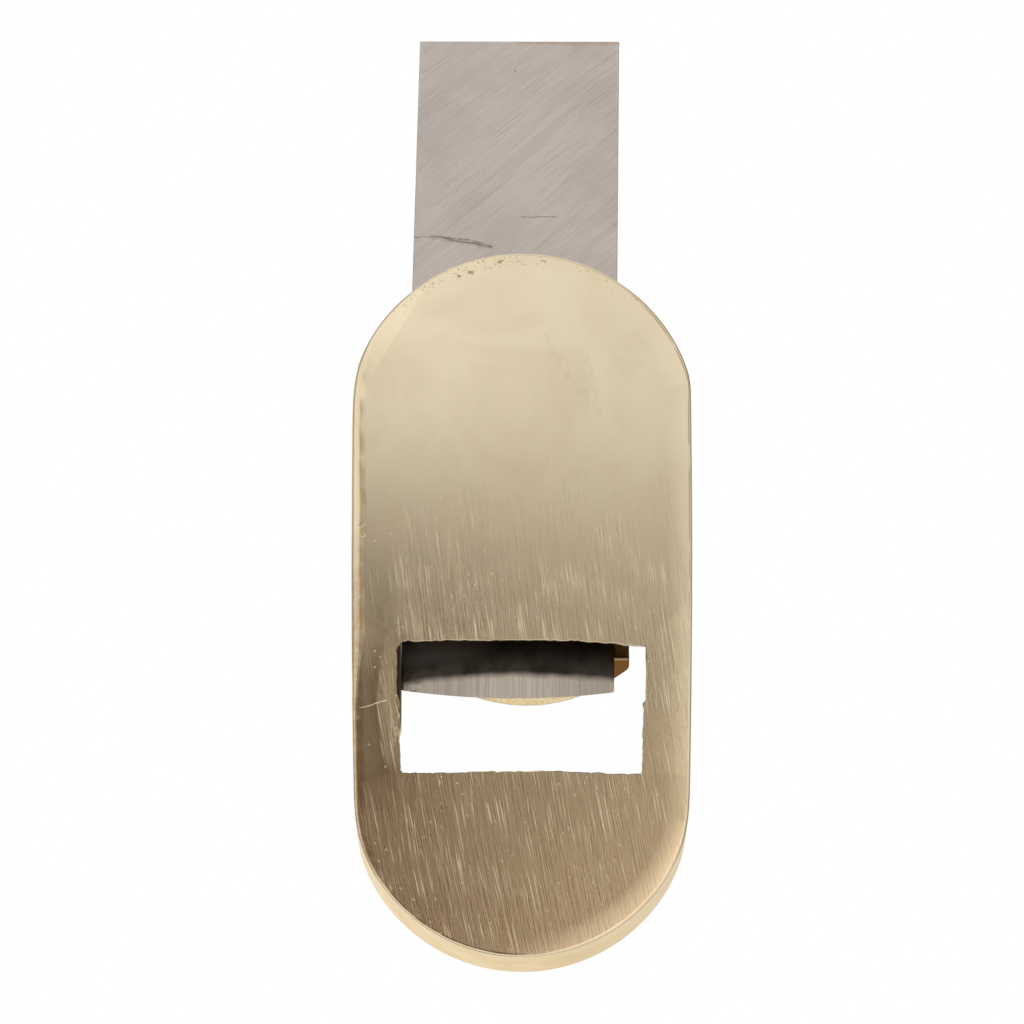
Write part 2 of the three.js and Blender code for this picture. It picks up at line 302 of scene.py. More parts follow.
def bridge(bm, ring_a, ring_b, material, closed=True):
    """Quads between two lines of points, leaving out what has closed up."""
    last = len(ring_a) if closed else len(ring_a) - 1
    for i in range(last):
        j = (i + 1) % len(ring_a)
        corners = []
        for vert in (ring_a[i], ring_a[j], ring_b[j], ring_b[i]):
            if vert not in corners:
                corners.append(vert)
        if len(corners) > 2 and not bm.faces.get(corners):
            bm.faces.new(corners).material_index = material


SOLE, WALLS, INSIDE = 0, 1, 2
bm = bmesh.new()


def ring(points):
    return [bm.verts.new(point) for point in points]


rings = []
round_steps, wall_steps, rim_steps, top_steps, inner_steps = 10, 6, 4, 8, 3


def rounding(spot):
    """How wide the sole's edge is rubbed over: most along one side, and hardly at all round the heel."""
    along_side = smooth_step(spot.y, -6.5, -0.5) * (1 - smooth_step(spot.y, 12.5, 15.5))
    size = 0.24 + 0.56 * along_side * smooth_step(spot.x, 2, 8) - 0.1 * smooth_step(spot.y, 12, 16)
    return size * (1 + 0.1 * waver(spot.x, spot.y, 3.5, 1.3) + 0.11 * waver(spot.x, spot.y, 0.9, 4.2))


margin = []
for s in range(round_steps + 1):
    share = math.sin(math.radians(12 + 78 * s / round_steps))
    points = []
    for spot, normal in zip(outline, normals):
        size = rounding(spot)
        depth = size * (0.75 - 0.3 * smooth_step(size, 0.3, 0.7))
        height = depth * (1 - math.sqrt(max(0, 1 - share ** 2.6)))
        points.append((*(spot - normal * size * (1 - share)), height))
        if s == 0:
            margin.append((*(spot - normal * size), 0))
    rings.append(ring(points))
rings.insert(0, ring(margin))
round_steps += 1
for s in range(1, wall_steps + 1):
    points = []
    for spot, normal, low in zip(outline, normals, rings[round_steps]):
        top = rim_height(spot.y) - rim_round
        height = low.co.z + (top - low.co.z) * s / wall_steps
        worn_in = max(0, waver(spot.x * 1.3, spot.y + height, 4, 9.4))
        dent = wall_dent * worn_in * math.sin(math.pi * s / wall_steps)
        points.append((*(spot - normal * dent), height))
    rings.append(ring(points))
for s in range(1, rim_steps + 1):
    turn = math.pi / 2 * s / rim_steps
    moved = [spot - normal * rim_round * (1 - math.cos(turn)) for spot, normal in zip(outline, normals)]
    rings.append(ring((*spot, rim_height(spot.y) - rim_round * (1 - math.sin(turn))) for spot in moved))
cavity_normals = [outward(cavity_edge, i) for i in range(count)]
for i in range(rear_first, rear_last + 1):
    cavity_normals[i] = Vector((0, 1))
for s in range(1, top_steps + 1):
    moved = [(spot - normal * rim_round).lerp(edge + away * inner_round, s / top_steps)
             for spot, normal, edge, away in zip(outline, normals, cavity_edge, cavity_normals)]
    rings.append(ring((*spot, rim_height(spot.y)) for spot in moved))
for s in range(1, inner_steps + 1):
    turn = math.pi / 2 * s / inner_steps
    points = []
    for i, (edge, away) in enumerate(zip(cavity_edge, cavity_normals)):
        if rear_first <= i <= rear_last:
            share = 1 - 2 * s / inner_steps
            y = edge.y + inner_round * share
            lowered = 0.3 * inner_round * (1 - abs(share))
            points.append((edge.x, y, min(rim_height(y), bed_height(y)) - lowered))
        else:
            moved = edge + away * inner_round * (1 - math.sin(turn))
            points.append((*moved, rim_height(moved.y) - inner_round * (1 - math.cos(turn))))
    rings.append(ring(points))
for s in range(len(rings) - 1):
    bridge(bm, rings[s], rings[s + 1], SOLE if s < round_steps else WALLS)

# The walls of the well and the slot go down to the floor, the bed or right through to the sole.
inside_top = rings[-1]
wall_levels = 5


def side_index(i):
    """The place along the side of a cavity edge point, or None for the rear line and the toe's arc."""
    if i < side_count:
        return i
    if rear_last <= i < rear_last + side_count:
        return rear_last + side_count - 1 - i
    return None


columns = {}
for i in range(count):
    if rear_first <= i <= rear_last:
        continue
    top = inside_top[i]
    edge = cavity_edge[i]
    shelf = max(sole_thickness, bed_height(edge.y)) if edge.y > mouth_heel else sole_thickness
    k = side_index(i)
    if k is None:
        size = wall_place(shelf, 1, well_centre) / toe_half
        foot = Vector((edge.x * size, well_centre + (edge.y - well_centre) * size))
    else:
        foot = Vector((wall_place(shelf, math.copysign(1, edge.x), edge.y), edge.y))
    column = [top]
    for s in range(1, wall_levels + 1):
        share = s / wall_levels
        column.append(bm.verts.new((*edge.lerp(foot, share), top.co.z + (shelf - top.co.z) * share)))
    low = bed_height(edge.y)
    if k and k <= mouth_steps + 1:
        spot = filed(math.copysign(cavity_half, edge.x), edge.y)
        lip = spot.copy()
        if spot.x > 0:
            lip.x -= (spot.x - cavity_half + 0.04) * smooth_step(edge.y, -6.2, -5.6)
        column[-1].co.xy = (foot + lip) / 2
        column += ring([(*lip, mouth_lip), (*spot, mouth_break)])
    elif k and low < sole_thickness:
        column += ring([(wall_place(low, math.copysign(1, edge.x), edge.y), edge.y, low)])
    columns[i] = column + [column[-1]] * (wall_levels + 3 - len(column))
for i in (rear_first, rear_last):
    columns[i] = [inside_top[i]] * (wall_levels + 3)
order = [i for i in range(count) if i in columns]
for a, b in zip(order, order[1:] + order[:1]):
    if b - a > 1:
        continue
    places = {side_index(a), side_index(b)}
    depth = wall_levels + 1 if places & {0, None} else wall_levels + 3
    if places == {mouth_steps + 1, mouth_steps + 2}:
        depth -= 1
    bridge(bm, columns[a][:depth], columns[b][:depth], INSIDE, closed=False)

# The mouth's toe face, the lip and the bed, row by row across.
right_toe, left_toe = 1, rear_last + side_count - 2
right_foot, left_foot = 1 + mouth_steps, rear_last + bed_steps


def row_across(start, end, places):
    return [start, *ring(places[1:-1]), end]


def filed_row(y, height, cut_share):
    """A row across the mouth, moved part or all of the way to the filed edge."""
    row = [Vector((share * cavity_half, y)) for share in across_shares]
    return [(*spot.lerp(filed(*spot), cut_share), height) for spot in row]


def mouth_rows(right, left, y, *levels):
    """Rows across one end of the mouth. Each is a level of the columns, a height and a share of filing."""
    return [row_across(columns[right][level], columns[left][level], filed_row(y, height, cut_share))
            for level, height, cut_share in levels]


toe_rows = mouth_rows(right_toe, left_toe, mouth_toe,
                      (-3, sole_thickness, 0.5), (-2, mouth_lip, 1), (-1, mouth_break, 1))
foot_rows = mouth_rows(right_foot, left_foot, mouth_heel, (-2, mouth_lip, 1), (-1, mouth_break, 1))
for rows in (toe_rows, foot_rows):
    for upper, lower in zip(rows, rows[1:]):
        bridge(bm, upper, lower, INSIDE, closed=False)
bed_rows = [foot_rows[0]]
for k in range(right_foot + 1, rear_first):
    mirrored = rear_last + side_count - 1 - k
    y = side_places[k]
    height = bed_height(y)
    bed_rows.append(row_across(
        columns[k][-1], columns[mirrored][-1], [(x, y, height) for x in across_at(height, y)]))
bed_rows.append([inside_top[i] for i in range(rear_first, rear_last + 1)])
for lower, upper in zip(bed_rows, bed_rows[1:]):
    bridge(bm, lower, upper, INSIDE, closed=False)
arc = [columns[i][wall_levels] for i in order if i > left_toe] + [columns[0][wall_levels]]
bm.faces.new([columns[left_toe][wall_levels]] + arc + toe_rows[0][:-1]).material_index = INSIDE

# The sole is one flat face round the mouth, whose edge is broken with a fine file.
mouth_ring = [columns[i][-1] for i in range(right_toe, right_foot)] + foot_rows[1]
mouth_ring += [columns[i][-1] for i in range(left_foot + 1, left_toe)] + toe_rows[2][::-1]
mouth_ring = mouth_ring[:-1]
spots = [vert.co.xy.copy() for vert in mouth_ring]


def smoothed_normal(i):
    """The mean outward normal of five points round the mouth."""
    nearby = (outward(spots, (i + k) % len(spots)) for k in (-2, -1, 0, 1, 2))
    return sum(nearby, Vector((0, 0))).normalized()


mouth_normals = [smoothed_normal(i) for i in range(len(spots))]
rim = []
for reach in (mouth_break, mouth_break + sole_margin / 2):
    line = []
    for spot, normal in zip(spots, mouth_normals):
        width = reach * (1.1 + 0.5 * waver(spot.x, spot.y, 1.2, 5.5))
        line.append(bm.verts.new((*(spot + normal * width), 0)))
    bridge(bm, rim[-1] if rim else mouth_ring, line, SOLE)
    rim.append(line)
edges = [bm.edges.get((line[i - 1], line[i])) for line in (rim[-1], rings[0]) for i in range(len(line))]
filled = bmesh.ops.triangle_fill(bm, use_beauty=True, use_dissolve=False, edges=edges)
for face in filled["geom"]:
    if isinstance(face, bmesh.types.BMFace):
        face.material_index = SOLE


def add(tree, kind, inputs=None, **settings):
    """Adds a node. An input given as a socket is linked, any other is set."""
    node = tree.nodes.new(kind)
    for key, value in settings.items():
        setattr(node, key, value)
    for key, value in (inputs or {}).items():
        if isinstance(value, bpy.types.NodeSocket):
            tree.links.new(value, node.inputs[key])
        else:
            node.inputs[key].default_value = value
    return node


def maths(operation, *values, clamp=False):
    """A maths node on sockets and numbers, in the node tree of the first socket."""
    tree = next(value.id_data for value in values if isinstance(value, bpy.types.NodeSocket))
    inputs = dict(enumerate(values))
    return add(tree, "ShaderNodeMath", inputs, operation=operation, use_clamp=clamp).outputs[0]


def times(first, *others):
    for other in others:
        first = maths("MULTIPLY", first, other)
    return first


def plus(first, *others):
    for other in others:
        first = maths("ADD", first, other)
    return first


def minus(a, b):
    return maths("SUBTRACT", a, b)


def over(a, b):
    return maths("DIVIDE", a, b)


def vector_maths(operation, a, b, output=0):
    return add(a.id_data, "ShaderNodeVectorMath", {0: a, 1: b}, operation=operation).outputs[output]


def scaled(vector, size):
    inputs = {0: vector, "Scale": size}
    return add(vector.id_data, "ShaderNodeVectorMath", inputs, operation="SCALE").outputs[0]


def split(vector):
    return add(vector.id_data, "ShaderNodeSeparateXYZ", {0: vector}).outputs


def joined(x, y, z=0.0):
    return add(x.id_data, "ShaderNodeCombineXYZ", {0: x, 1: y, 2: z}).outputs[0]


def ranged(value, low, high, to_low=0.0, to_high=1.0):
    """A smooth step between two values."""
    return add(value.id_data, "ShaderNodeMapRange",
               {"Value": value, "From Min": low, "From Max": high, "To Min": to_low, "To Max": to_high},
               interpolation_type="SMOOTHSTEP").outputs[0]


def noisy(vector, scale, detail=2.0, rough=0.5, distortion=0.0):
    return add(vector.id_data, "ShaderNodeTexNoise",
               {"Vector": vector, "Scale": scale, "Detail": detail, "Roughness": rough,
                "Distortion": distortion}).outputs[0]


def mixed(share, *colors):
    """Blends two colours, each a socket or (red, green, blue)."""
    low, high = [color if isinstance(color, bpy.types.NodeSocket) else (*color, 1) for color in colors]
    return add(share.id_data, "ShaderNodeMix", {0: share, 6: low, 7: high}, data_type="RGBA").outputs[2]


def layered(tint, *layers):
    """Lays colours over a tint. Each layer is a (share, colour)."""
    for share, color in layers:
        tint = mixed(share, tint, color)
    return tint


def new_group(name, result, **inputs):
    """A shader node group with one output, and its inputs' sockets. An input given as None is a vector."""
    tree = bpy.data.node_groups.new(name, "ShaderNodeTree")
    for label, default in inputs.items():
        kind = "NodeSocketVector" if default is None else "NodeSocketFloat"
        socket = tree.interface.new_socket(name=label, in_out="INPUT", socket_type=kind)
        if default is not None:
            socket.default_value = default
    tree.interface.new_socket(name=result, in_out="OUTPUT", socket_type="NodeSocketFloat")
    return tree, list(tree.nodes.new("NodeGroupInput").outputs)[:-1]


def put_out(group, value):
    group.links.new(value, group.nodes.new("NodeGroupOutput").inputs[0])


def place(tree, group, **inputs):
    return add(tree, "ShaderNodeGroup", inputs, node_tree=group).outputs[0]


def drawn_out(spot, lean, width, length, depth=1.0):
    """A place turned by the lean and scaled, so that noise on it is fine across and long along."""
    turned = add(spot.id_data, "ShaderNodeVectorRotate", {"Vector": spot, "Angle": lean},
                 rotation_type="Z_AXIS").outputs[0]
    fineness = joined(over(1.0, width), over(1.0, length), over(depth, width))
    return vector_maths("MULTIPLY", turned, fineness)


# Brush strokes: lines left by abrasive paper or a wheel, long one way and fine the other.
strokes, (spot, lean, width, length) = new_group(
    "brush strokes", "Height", Place=None, Lean=0.0, Width=0.1, Length=4.0)
drawn = drawn_out(spot, lean, width, length)
put_out(strokes, plus(times(noisy(drawn, 1.0, 3.0, 0.65), 0.65), times(noisy(drawn, 0.31, 1.0), 0.35)))

# Scratches: a few thin short marks that all run one way.
scratches, (spot, lean, width, length, rarity) = new_group(
    "scratches", "Mask", Place=None, Lean=0.0, Width=0.06, Length=2.5, Rarity=0.7)
line = noisy(drawn_out(spot, lean, width, length, 0.3), 0.5, 0.0)
line = plus(line, times(minus(noisy(spot, 0.45), 0.5), 0.3))
put_out(scratches, maths("MULTIPLY", minus(line, rarity), 14.0, clamp=True))

# Worn edges: where the surface turns outward sharply it is rubbed bright.
worn, (start, full) = new_group("worn edges", "Mask", Start=0.51, Full=0.6)
put_out(worn, ranged(add(worn, "ShaderNodeNewGeometry").outputs["Pointiness"], start, full))

# A long mark: a straight scratch or stain between two places, with a wandering edge.
marks, (spot, start, end, width) = new_group("long mark", "Mask", Place=None, From=None, To=None, Width=0.1)
wobble = add(marks, "ShaderNodeTexNoise", {"Vector": spot, "Scale": 1.6, "Detail": 3.0}).outputs["Color"]
wobble = scaled(vector_maths("SUBTRACT", wobble, (0.5, 0.5, 0.5)), 0.22)
from_start = vector_maths("SUBTRACT", vector_maths("ADD", spot, wobble), start)
whole = vector_maths("SUBTRACT", end, start)
along = maths("DIVIDE", vector_maths("DOT_PRODUCT", from_start, whole, "Value"),
              vector_maths("DOT_PRODUCT", whole, whole, "Value"), clamp=True)
gap = vector_maths("DISTANCE", from_start, scaled(whole, along), "Value")
thick = times(width, ranged(noisy(spot, 3.0), 0.3, 0.6, 0.55, 1.2))
put_out(marks, ranged(over(gap, thick), 1.0, 0.3))

# Inset: how far a place on the sole is in from the body's outline.
insets, (spot,) = new_group("distance in from the outline", "Inset", Place=None)
x, y, _ = split(spot)
level_y = add(insets, "ShaderNodeClamp", {"Value": y, "Min": toe_centre, "Max": heel_centre}).outputs[0]
past_end = minus(y, level_y)
reach = maths("SQRT", plus(times(x, x), times(past_end, past_end)))
bow = minus(level_y, widest_place)
bow = times(bow, bow, 0.5 / side_radius)
straight_side = over(times(minus(half_width, bow), reach), plus(maths("ABSOLUTE", x), 0.001))
outside = maths("MINIMUM", straight_side, ranged(y, -1.0, 1.0, toe_radius, heel_radius))
put_out(insets, minus(outside, reach))


def marked(spot, *places):
    """Several long marks in one mask. Each is its start, its end and its width."""
    found = None
    for start, end, width in places:
        mark = place(spot.id_data, marks, Place=spot, From=(*start, 0), To=(*end, 0), Width=width)
        found = mark if found is None else maths("MAXIMUM", found, mark)
    return found


def new_material(name, own_frame=None):
    """An empty material, its tree, its shader and its place in millimetres in the piece's own frame."""
    material = bpy.data.materials.new(name)
    material.use_nodes = True
    tree = material.node_tree
    tree.nodes.clear()
    shader = add(tree, "ShaderNodeBsdfPrincipled", {"Metallic": 1.0})
    add(tree, "ShaderNodeOutputMaterial", {"Surface": shader.outputs[0]})
    spot = scaled(add(tree, "ShaderNodeTexCoord").outputs["Object"], 1 / MM)
    if own_frame:
        spot = add(tree, "ShaderNodeMapping",
                   {"Vector": spot, "Location": own_frame.translation, "Rotation": own_frame.to_euler()},
                   vector_type="TEXTURE").outputs[0]
    return material, tree, shader, spot


def dress(shader, tint, roughness, *heights, metal=None):
    """Links the surface to its shader. Each height has its size in millimetres and lies over the last."""
    links = shader.id_data.links
    links.new(tint, shader.inputs["Base Color"])
    links.new(roughness, shader.inputs["Roughness"])
    if metal is not None:
        links.new(metal, shader.inputs["Metallic"])
    under = None
    for height, size in heights:
        inputs = {"Height": height, "Distance": size * MM, "Strength": 1.0}
        if under is not None:
            inputs["Normal"] = under
        under = add(shader.id_data, "ShaderNodeBump", inputs).outputs[0]
    links.new(under, shader.inputs["Normal"])


sole_brass, tree, shader, spot = new_material("brushed brass")
across, along, up = split(spot)
inset = place(tree, insets, Place=spot)
stroke_lean, stroke_bend = 0.115, 0.0025
swing = minus(times(along, stroke_lean), times(along, along, stroke_bend))
bent = joined(minus(across, swing), along, up)
smudge = noisy(spot, 0.16, 4.0, 0.55, 0.8)
cluster = noisy(spot, 0.5)
grain = place(tree, strokes, Place=bent, Width=0.06, Length=2.2)
hairline = place(tree, scratches, Place=bent, Lean=0.02, Width=0.045, Length=1.7, Rarity=0.67)
bold_line = place(tree, scratches, Place=bent, Lean=-0.03, Width=0.055, Length=1.5, Rarity=0.72)
dot = ranged(noisy(spot, 3.2, 0.0), 0.80, 0.82)
pit = ranged(noisy(spot, 3.6, 1.0), 0.80, 0.83)

# The strokes are strong round the mouth and the toe, and rubbed away towards the heel and one side.
# A patch beside the mouth keeps them, because the sole sinks a little there.
patch_x, patch_y, patch_half_width, patch_half_length = 6.95, -5.6, 1.22, 4.4
patch_across = over(minus(across, patch_x), patch_half_width)
patch_along = over(minus(along, patch_y), patch_half_length)
from_patch = maths("SQRT", plus(times(patch_across, patch_across), times(patch_along, patch_along)))
beside_mouth = ranged(from_patch, 1.0, 0.0)
worked = minus(along, ranged(cluster, 0.3, 0.7, -2.5, 2.5))
off_patch = minus(1.0, ranged(from_patch, 1.05, 0.85))
handled = times(ranged(across, 6.6, 7.8), ranged(along, -13.0, -9.0), off_patch)
rubbed = times(ranged(worked, -3.0, 9.5, 1.0, 0.06), minus(1.0, times(handled, 0.8)))
lined = times(rubbed, ranged(cluster, 0.3, 0.6, 0.35, 1.0))
hairlines, bold_lines = times(hairline, lined), times(bold_line, lined)

# Marks of use: a rough patch and nicks at the edge, finger marks, the dark lines of two burrs, a stained
# rim at the heel and a pale scratch. The rounded band beside the mouth is darkened with painted shade and
# dirt.
by_heel = times(ranged(inset, 0.9, 0.1), ranged(along, 15.5, 18.0),
                ranged(maths("ABSOLUTE", minus(across, 2.0)), 4.5, 2.0, 0.25, 1.0))
rough_patch = times(by_heel, ranged(noisy(spot, 5.5, 2.0, 0.6), 0.60, 0.67))
finger_marks = times(marked(spot, ((-1.4, 15.0), (-3.9, 11.3), 0.5), ((-3.6, 13.8), (-4.3, 10.9), 0.4)),
                     ranged(noisy(spot, 1.6, 4.0, 0.65), 0.36, 0.66, 0.0, 0.13))
nicks = marked(spot, ((2.92, 18.93), (2.8, 18.9), 0.16), ((1.3, 19.5), (1.15, 19.52), 0.1),
               ((3.6, 18.7), (3.5, 18.66), 0.08), ((-1.15, 19.6), (-1.3, 19.57), 0.07),
               ((9.1, 4.4), (8.95, 4.5), 0.13), ((8.95, 3.85), (8.85, 3.9), 0.09))
dark_marks = maths("MAXIMUM", rough_patch, nicks)
burr = times(ranged(inset, 0.10, 0.15), ranged(inset, 0.24, 0.18), ranged(across, -5.5, -7.5),
             ranged(along, -8.0, 3.0, 0.0, 0.6), ranged(noisy(spot, 0.7), 0.35, 0.6, 0.35, 1.1))
toe_burr = times(ranged(inset, 0.10, 0.16), ranged(inset, 0.26, 0.20), ranged(along, -12.5, -14.0),
                 ranged(across, -2.5, 1.5), ranged(noisy(spot, 1.1), 0.42, 0.55, 0.1, 0.6))
# Painted shade with speckled dirt in the rounded band beside the mouth.
band_shade_and_dirt = times(ranged(inset, 0.75, 0.5), ranged(across, 7.6, 8.6), ranged(along, 6.0, -1.0, 0.0, 0.5),
                  ranged(noisy(spot, 1.5, 4.0, 0.65), 0.3, 0.6, 0.5, 1.2))
stained_rim = times(ranged(inset, 0.09, 0.03), ranged(maths("ABSOLUTE", across), 5.5, 7.0),
                    ranged(along, 11.5, 13.0, 0.0, 0.8))
pale_scratch = marked(spot, ((9.07, -5.94), (7.67, -5.49), 0.05))
tint = layered(
    mixed(ranged(smudge, 0.35, 0.7), (0.88, 0.735, 0.50), (0.845, 0.70, 0.465)),
    (times(ranged(grain, 0.5, 0.36, 0.0, 0.25), rubbed), (0.45, 0.36, 0.24)),
    (times(hairlines, 0.16), (0.97, 0.87, 0.65)),
    (times(pit, 0.6), (0.45, 0.35, 0.22)),
    (finger_marks, (0.52, 0.44, 0.34)),
    (times(dark_marks, 0.6), (0.24, 0.175, 0.10)),
    (burr, (0.36, 0.25, 0.15)),
    (toe_burr, (0.22, 0.15, 0.08)),
    (band_shade_and_dirt, (0.42, 0.30, 0.17)),
    (stained_rim, (0.27, 0.20, 0.15)),
    (times(pale_scratch, 0.45), (1.0, 0.95, 0.82)))
rough = plus(ranged(smudge, 0.3, 0.75, 0.07, 0.1), times(dark_marks, 0.4), times(hairlines, 0.12))
dubbed = maths("SUBTRACT", 1.0, over(inset, 1.45), clamp=True)
dress(shader, tint, rough,
      (times(minus(grain, 0.5), rubbed), 0.0023),
      (plus(hairlines, times(pale_scratch, 2.0)), -0.00053),
      (bold_lines, -0.00105),
      (plus(dark_marks, times(dot, 0.5)), -0.012),
      (times(dubbed, dubbed, ranged(across, 1.0, -4.0)), -0.036),
      (beside_mouth, -0.009))

wall_brass, tree, shader, spot = new_material("polished brass walls")
shader.inputs["Specular Tint"].default_value = (0.95, 0.87, 0.70, 1)
smudge = noisy(spot, 0.22, 4.0, 0.6, 0.6)
level = vector_maths("MULTIPLY", spot, (0.05, 0.05, 1))
stroke = place(tree, strokes, Place=level, Width=0.11, Length=0.11)
edge = place(tree, worn, Start=0.52, Full=0.62)
nick = place(tree, scratches, Place=spot, Lean=0.9, Width=0.05, Length=1.6, Rarity=0.74)
tint = layered(
    mixed(ranged(smudge, 0.35, 0.7), (0.80, 0.635, 0.37), (0.765, 0.595, 0.335)),
    (ranged(stroke, 0.5, 0.36, 0.0, 0.3), (0.52, 0.38, 0.20)),
    (ranged(stroke, 0.54, 0.66, 0.0, 0.3), (0.92, 0.79, 0.54)),
    (times(edge, 0.4), (0.92, 0.79, 0.54)))
rough = plus(ranged(smudge, 0.3, 0.75, 0.2, 0.32), times(stroke, 0.1))
dress(shader, tint, rough, (stroke, 0.005), (nick, -0.006))

inside_brass, tree, shader, spot = new_material("milled brass")
shader.inputs["Specular IOR Level"].default_value = 0.0
cutter_marks = add(tree, "ShaderNodeTexWave",
                   {"Vector": spot, "Scale": 1.1, "Distortion": 0.5, "Detail": 1.0, "Detail Scale": 2.0},
                   wave_type="RINGS", rings_direction="Z", wave_profile="SAW").outputs["Fac"]
smudge = noisy(spot, 0.3, 4.0, 0.65, 0.8)
grit = noisy(spot, 9.0, 3.0, 0.7)
x, y, z = split(spot)
by_iron = times(minus(ranged(y, -6.2, -5.4), ranged(y, 1.0, 4.0)), ranged(z, 13.0, 9.0))
# Painted shade with grime: the bed is darkened a little, and the cheek wall beside the iron nearly to
# black.
shade_and_grime = times(by_iron, ranged(x, 5.6, 6.4, 0.35, 0.97))
tint = mixed(ranged(smudge, 0.35, 0.68), (0.86, 0.70, 0.44), (0.72, 0.55, 0.32))
dress(shader, mixed(shade_and_grime, tint, (0.035, 0.025, 0.016)), ranged(smudge, 0.3, 0.75, 0.3, 0.45),
      (cutter_marks, 0.006), (grit, 0.004), metal=minus(1.0, shade_and_grime))

body = new_mesh_object("visual_body", bm, (sole_brass, wall_brass, inside_brass))


def round_bar(radius, half, sides=96):
    """A plain bar along X for cutting."""
    bar = bmesh.new()
    bmesh.ops.create_cone(bar, cap_ends=True, segments=sides, radius1=radius, radius2=radius,
                          depth=2 * half)
    bmesh.ops.rotate(bar, verts=bar.verts, matrix=Matrix.Rotation(math.pi / 2, 3, "Y"))
    return bar


hole = round_bar(pin_hole_radius, half_width + 1)
bmesh.ops.translate(hole, verts=hole.verts, vec=pin_place)
cut(body, new_mesh_object("pin hole", hole, (inside_brass,)))
shade(body)
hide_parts("body")
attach(body, "plane")

# CROSS PIN
# A steel rod driven through both cheeks, which the lever cap rocks under. Its ends are cut off and
# dressed with a file to low domes, level with the outside of the brass.
pin_radius, pin_dome, pin_arris, dome_steps = 1.5, 0.15, 0.06, 8


def domed(reach, radius, rise, top):
    """The height of a low dome at a reach from its axis. It rises this much over its whole radius."""
    curve = (radius ** 2 + rise ** 2) / (2 * rise)
    return top - curve + math.sqrt(curve ** 2 - reach ** 2)


dome = []
for i in range(dome_steps + 1):
    reach = (pin_radius - pin_arris) * i / dome_steps
    dome.append((reach, domed(reach, pin_radius, pin_dome, half_width)))
shoulder = dome[-1][1]
dome += [(pin_radius - 0.3 * pin_arris, shoulder - 0.3 * pin_arris), (pin_radius, shoulder - pin_arris)]
pin_profile = [(reach, -height) for reach, height in dome] + dome[::-1]


def turned(profile, sides, shaped=None):
    """Turns (radius, height) points about Z. shaped changes a radius by its height and its turn."""
    bm = bmesh.new()
    rows = []
    for radius, height in profile:
        if radius == 0:
            rows.append([bm.verts.new((0, 0, height))] * sides)
            continue
        row = []
        for k in range(sides):
            turn = 2 * math.pi * k / sides
            reach = shaped(radius, height, turn) if shaped else radius
            row.append(bm.verts.new((reach * math.cos(turn), reach * math.sin(turn), height)))
        rows.append(row)
    for low, high in zip(rows, rows[1:]):
        bridge(bm, low, high, 0)
    return bm


def frame_at(origin, tilt=0.0, turn=0.0):
    """A piece's own frame: tilted up about X, then turned about its own Z."""
    lean = Matrix.Rotation(tilt, 4, "X") @ Matrix.Rotation(turn, 4, "Z")
    return Matrix.Translation(Vector(origin)) @ lean


pin_frame = Matrix.Translation(pin_place) @ Matrix.Rotation(math.pi / 2, 4, "Y")
pin_steel, tree, shader, spot = new_material("dressed steel rod", pin_frame)
stroke = place(tree, strokes, Place=spot, Lean=0.6, Width=0.05, Length=1.5)
smudge = noisy(spot, 0.9, 4.0, 0.6)
tint = mixed(ranged(smudge, 0.4, 0.7), (0.56, 0.54, 0.51), (0.46, 0.43, 0.39))
dress(shader, tint, ranged(smudge, 0.3, 0.75, 0.22, 0.4), (stroke, 0.006))

cross_pin = new_mesh_object("visual_cross_pin", turned(pin_profile, 72), (pin_steel,), pin_frame)
shade(cross_pin, 40)
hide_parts("cross_pin")
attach(cross_pin, "plane")

# IRON
# A flat bar of tool steel, ground on all faces, with the edge curved to a camber. The bevel is ground
# hollow on a wheel and then honed near the edge, rocking from side to side, so the honed strip is
# widest in the middle. It lies bevel down on the bed, pushed over to one cheek.
iron_half, iron_thickness, iron_length, iron_arris = 6, 2.4, 52.8, 0.05
iron_shift = 0.82
camber_radius = 32.5
honed_slope = 1 / math.tan(math.radians(30))
ground_slope = 1 / math.tan(math.radians(24.5))
hollow = 0.1
strip_drop, strip_rise, strip_skew, strip_wander = 0.8, 0.43, 0.04, 0.03
edge_wander = 0.012
tail_skew = 0.13
bevel_steps, strip_steps, face_steps, iron_steps = 6, 4, 6, 66
bed_normal = Vector((0, -math.sin(bed_tilt), math.cos(bed_tilt)))
iron_low = frame_box("iron")[0]
iron_origin = Vector((iron_shift, iron_low.y, iron_low.z)) - bed_normal * iron_thickness
iron_frame = frame_at(iron_origin, bed_tilt, math.asin(-slide_axis.x))
GROUND, BEVEL = 0, 1


def iron_profile(x, inset):
    """The iron's outline at one place across: tail, lower face, hollow bevel, honed strip, top face."""
    tail = iron_length - inset + tail_skew * (iron_half - x) / 2 / iron_half
    low, high = inset, iron_thickness - inset
    wander = edge_wander * (1 + noise.noise(Vector((x / 0.5, 3.3, 1.1))))

    def honed(z):
        reach = camber_radius - (iron_thickness - z) * honed_slope
        return camber_radius - math.sqrt(reach ** 2 - x * x) + wander

    share = x / iron_half
    strip = iron_thickness - strip_drop + (strip_rise + strip_skew * share) * share ** 2
    strip += strip_wander * noise.noise(Vector((x, 8.1, 2.2)))
    strip_place = honed(strip) + inset
    foot = strip_place + (strip - low) * ground_slope
    lower_tail = tail - iron_arris
    points = [((tail, high - iron_arris), GROUND), ((tail, low + iron_arris), GROUND)]
    run = foot - tail + iron_arris
    points += [((lower_tail + run * k / bevel_steps, low), GROUND) for k in range(bevel_steps)]
    for k in range(bevel_steps):
        z = low + (strip - low) * k / bevel_steps
        sag = hollow * math.sin(math.pi * k / bevel_steps)
        points.append(((foot + (strip_place - foot) * k / bevel_steps + sag, z), BEVEL))
    for k in range(strip_steps + 1):
        z = strip + (high - strip) * k / strip_steps
        points.append(((honed(z) + inset, z), BEVEL))
    edge, run = honed(high) + inset, tail - iron_arris - honed(high) - inset
    points += [((edge + run * k / face_steps, high), GROUND) for k in range(1, face_steps + 1)]
    return points


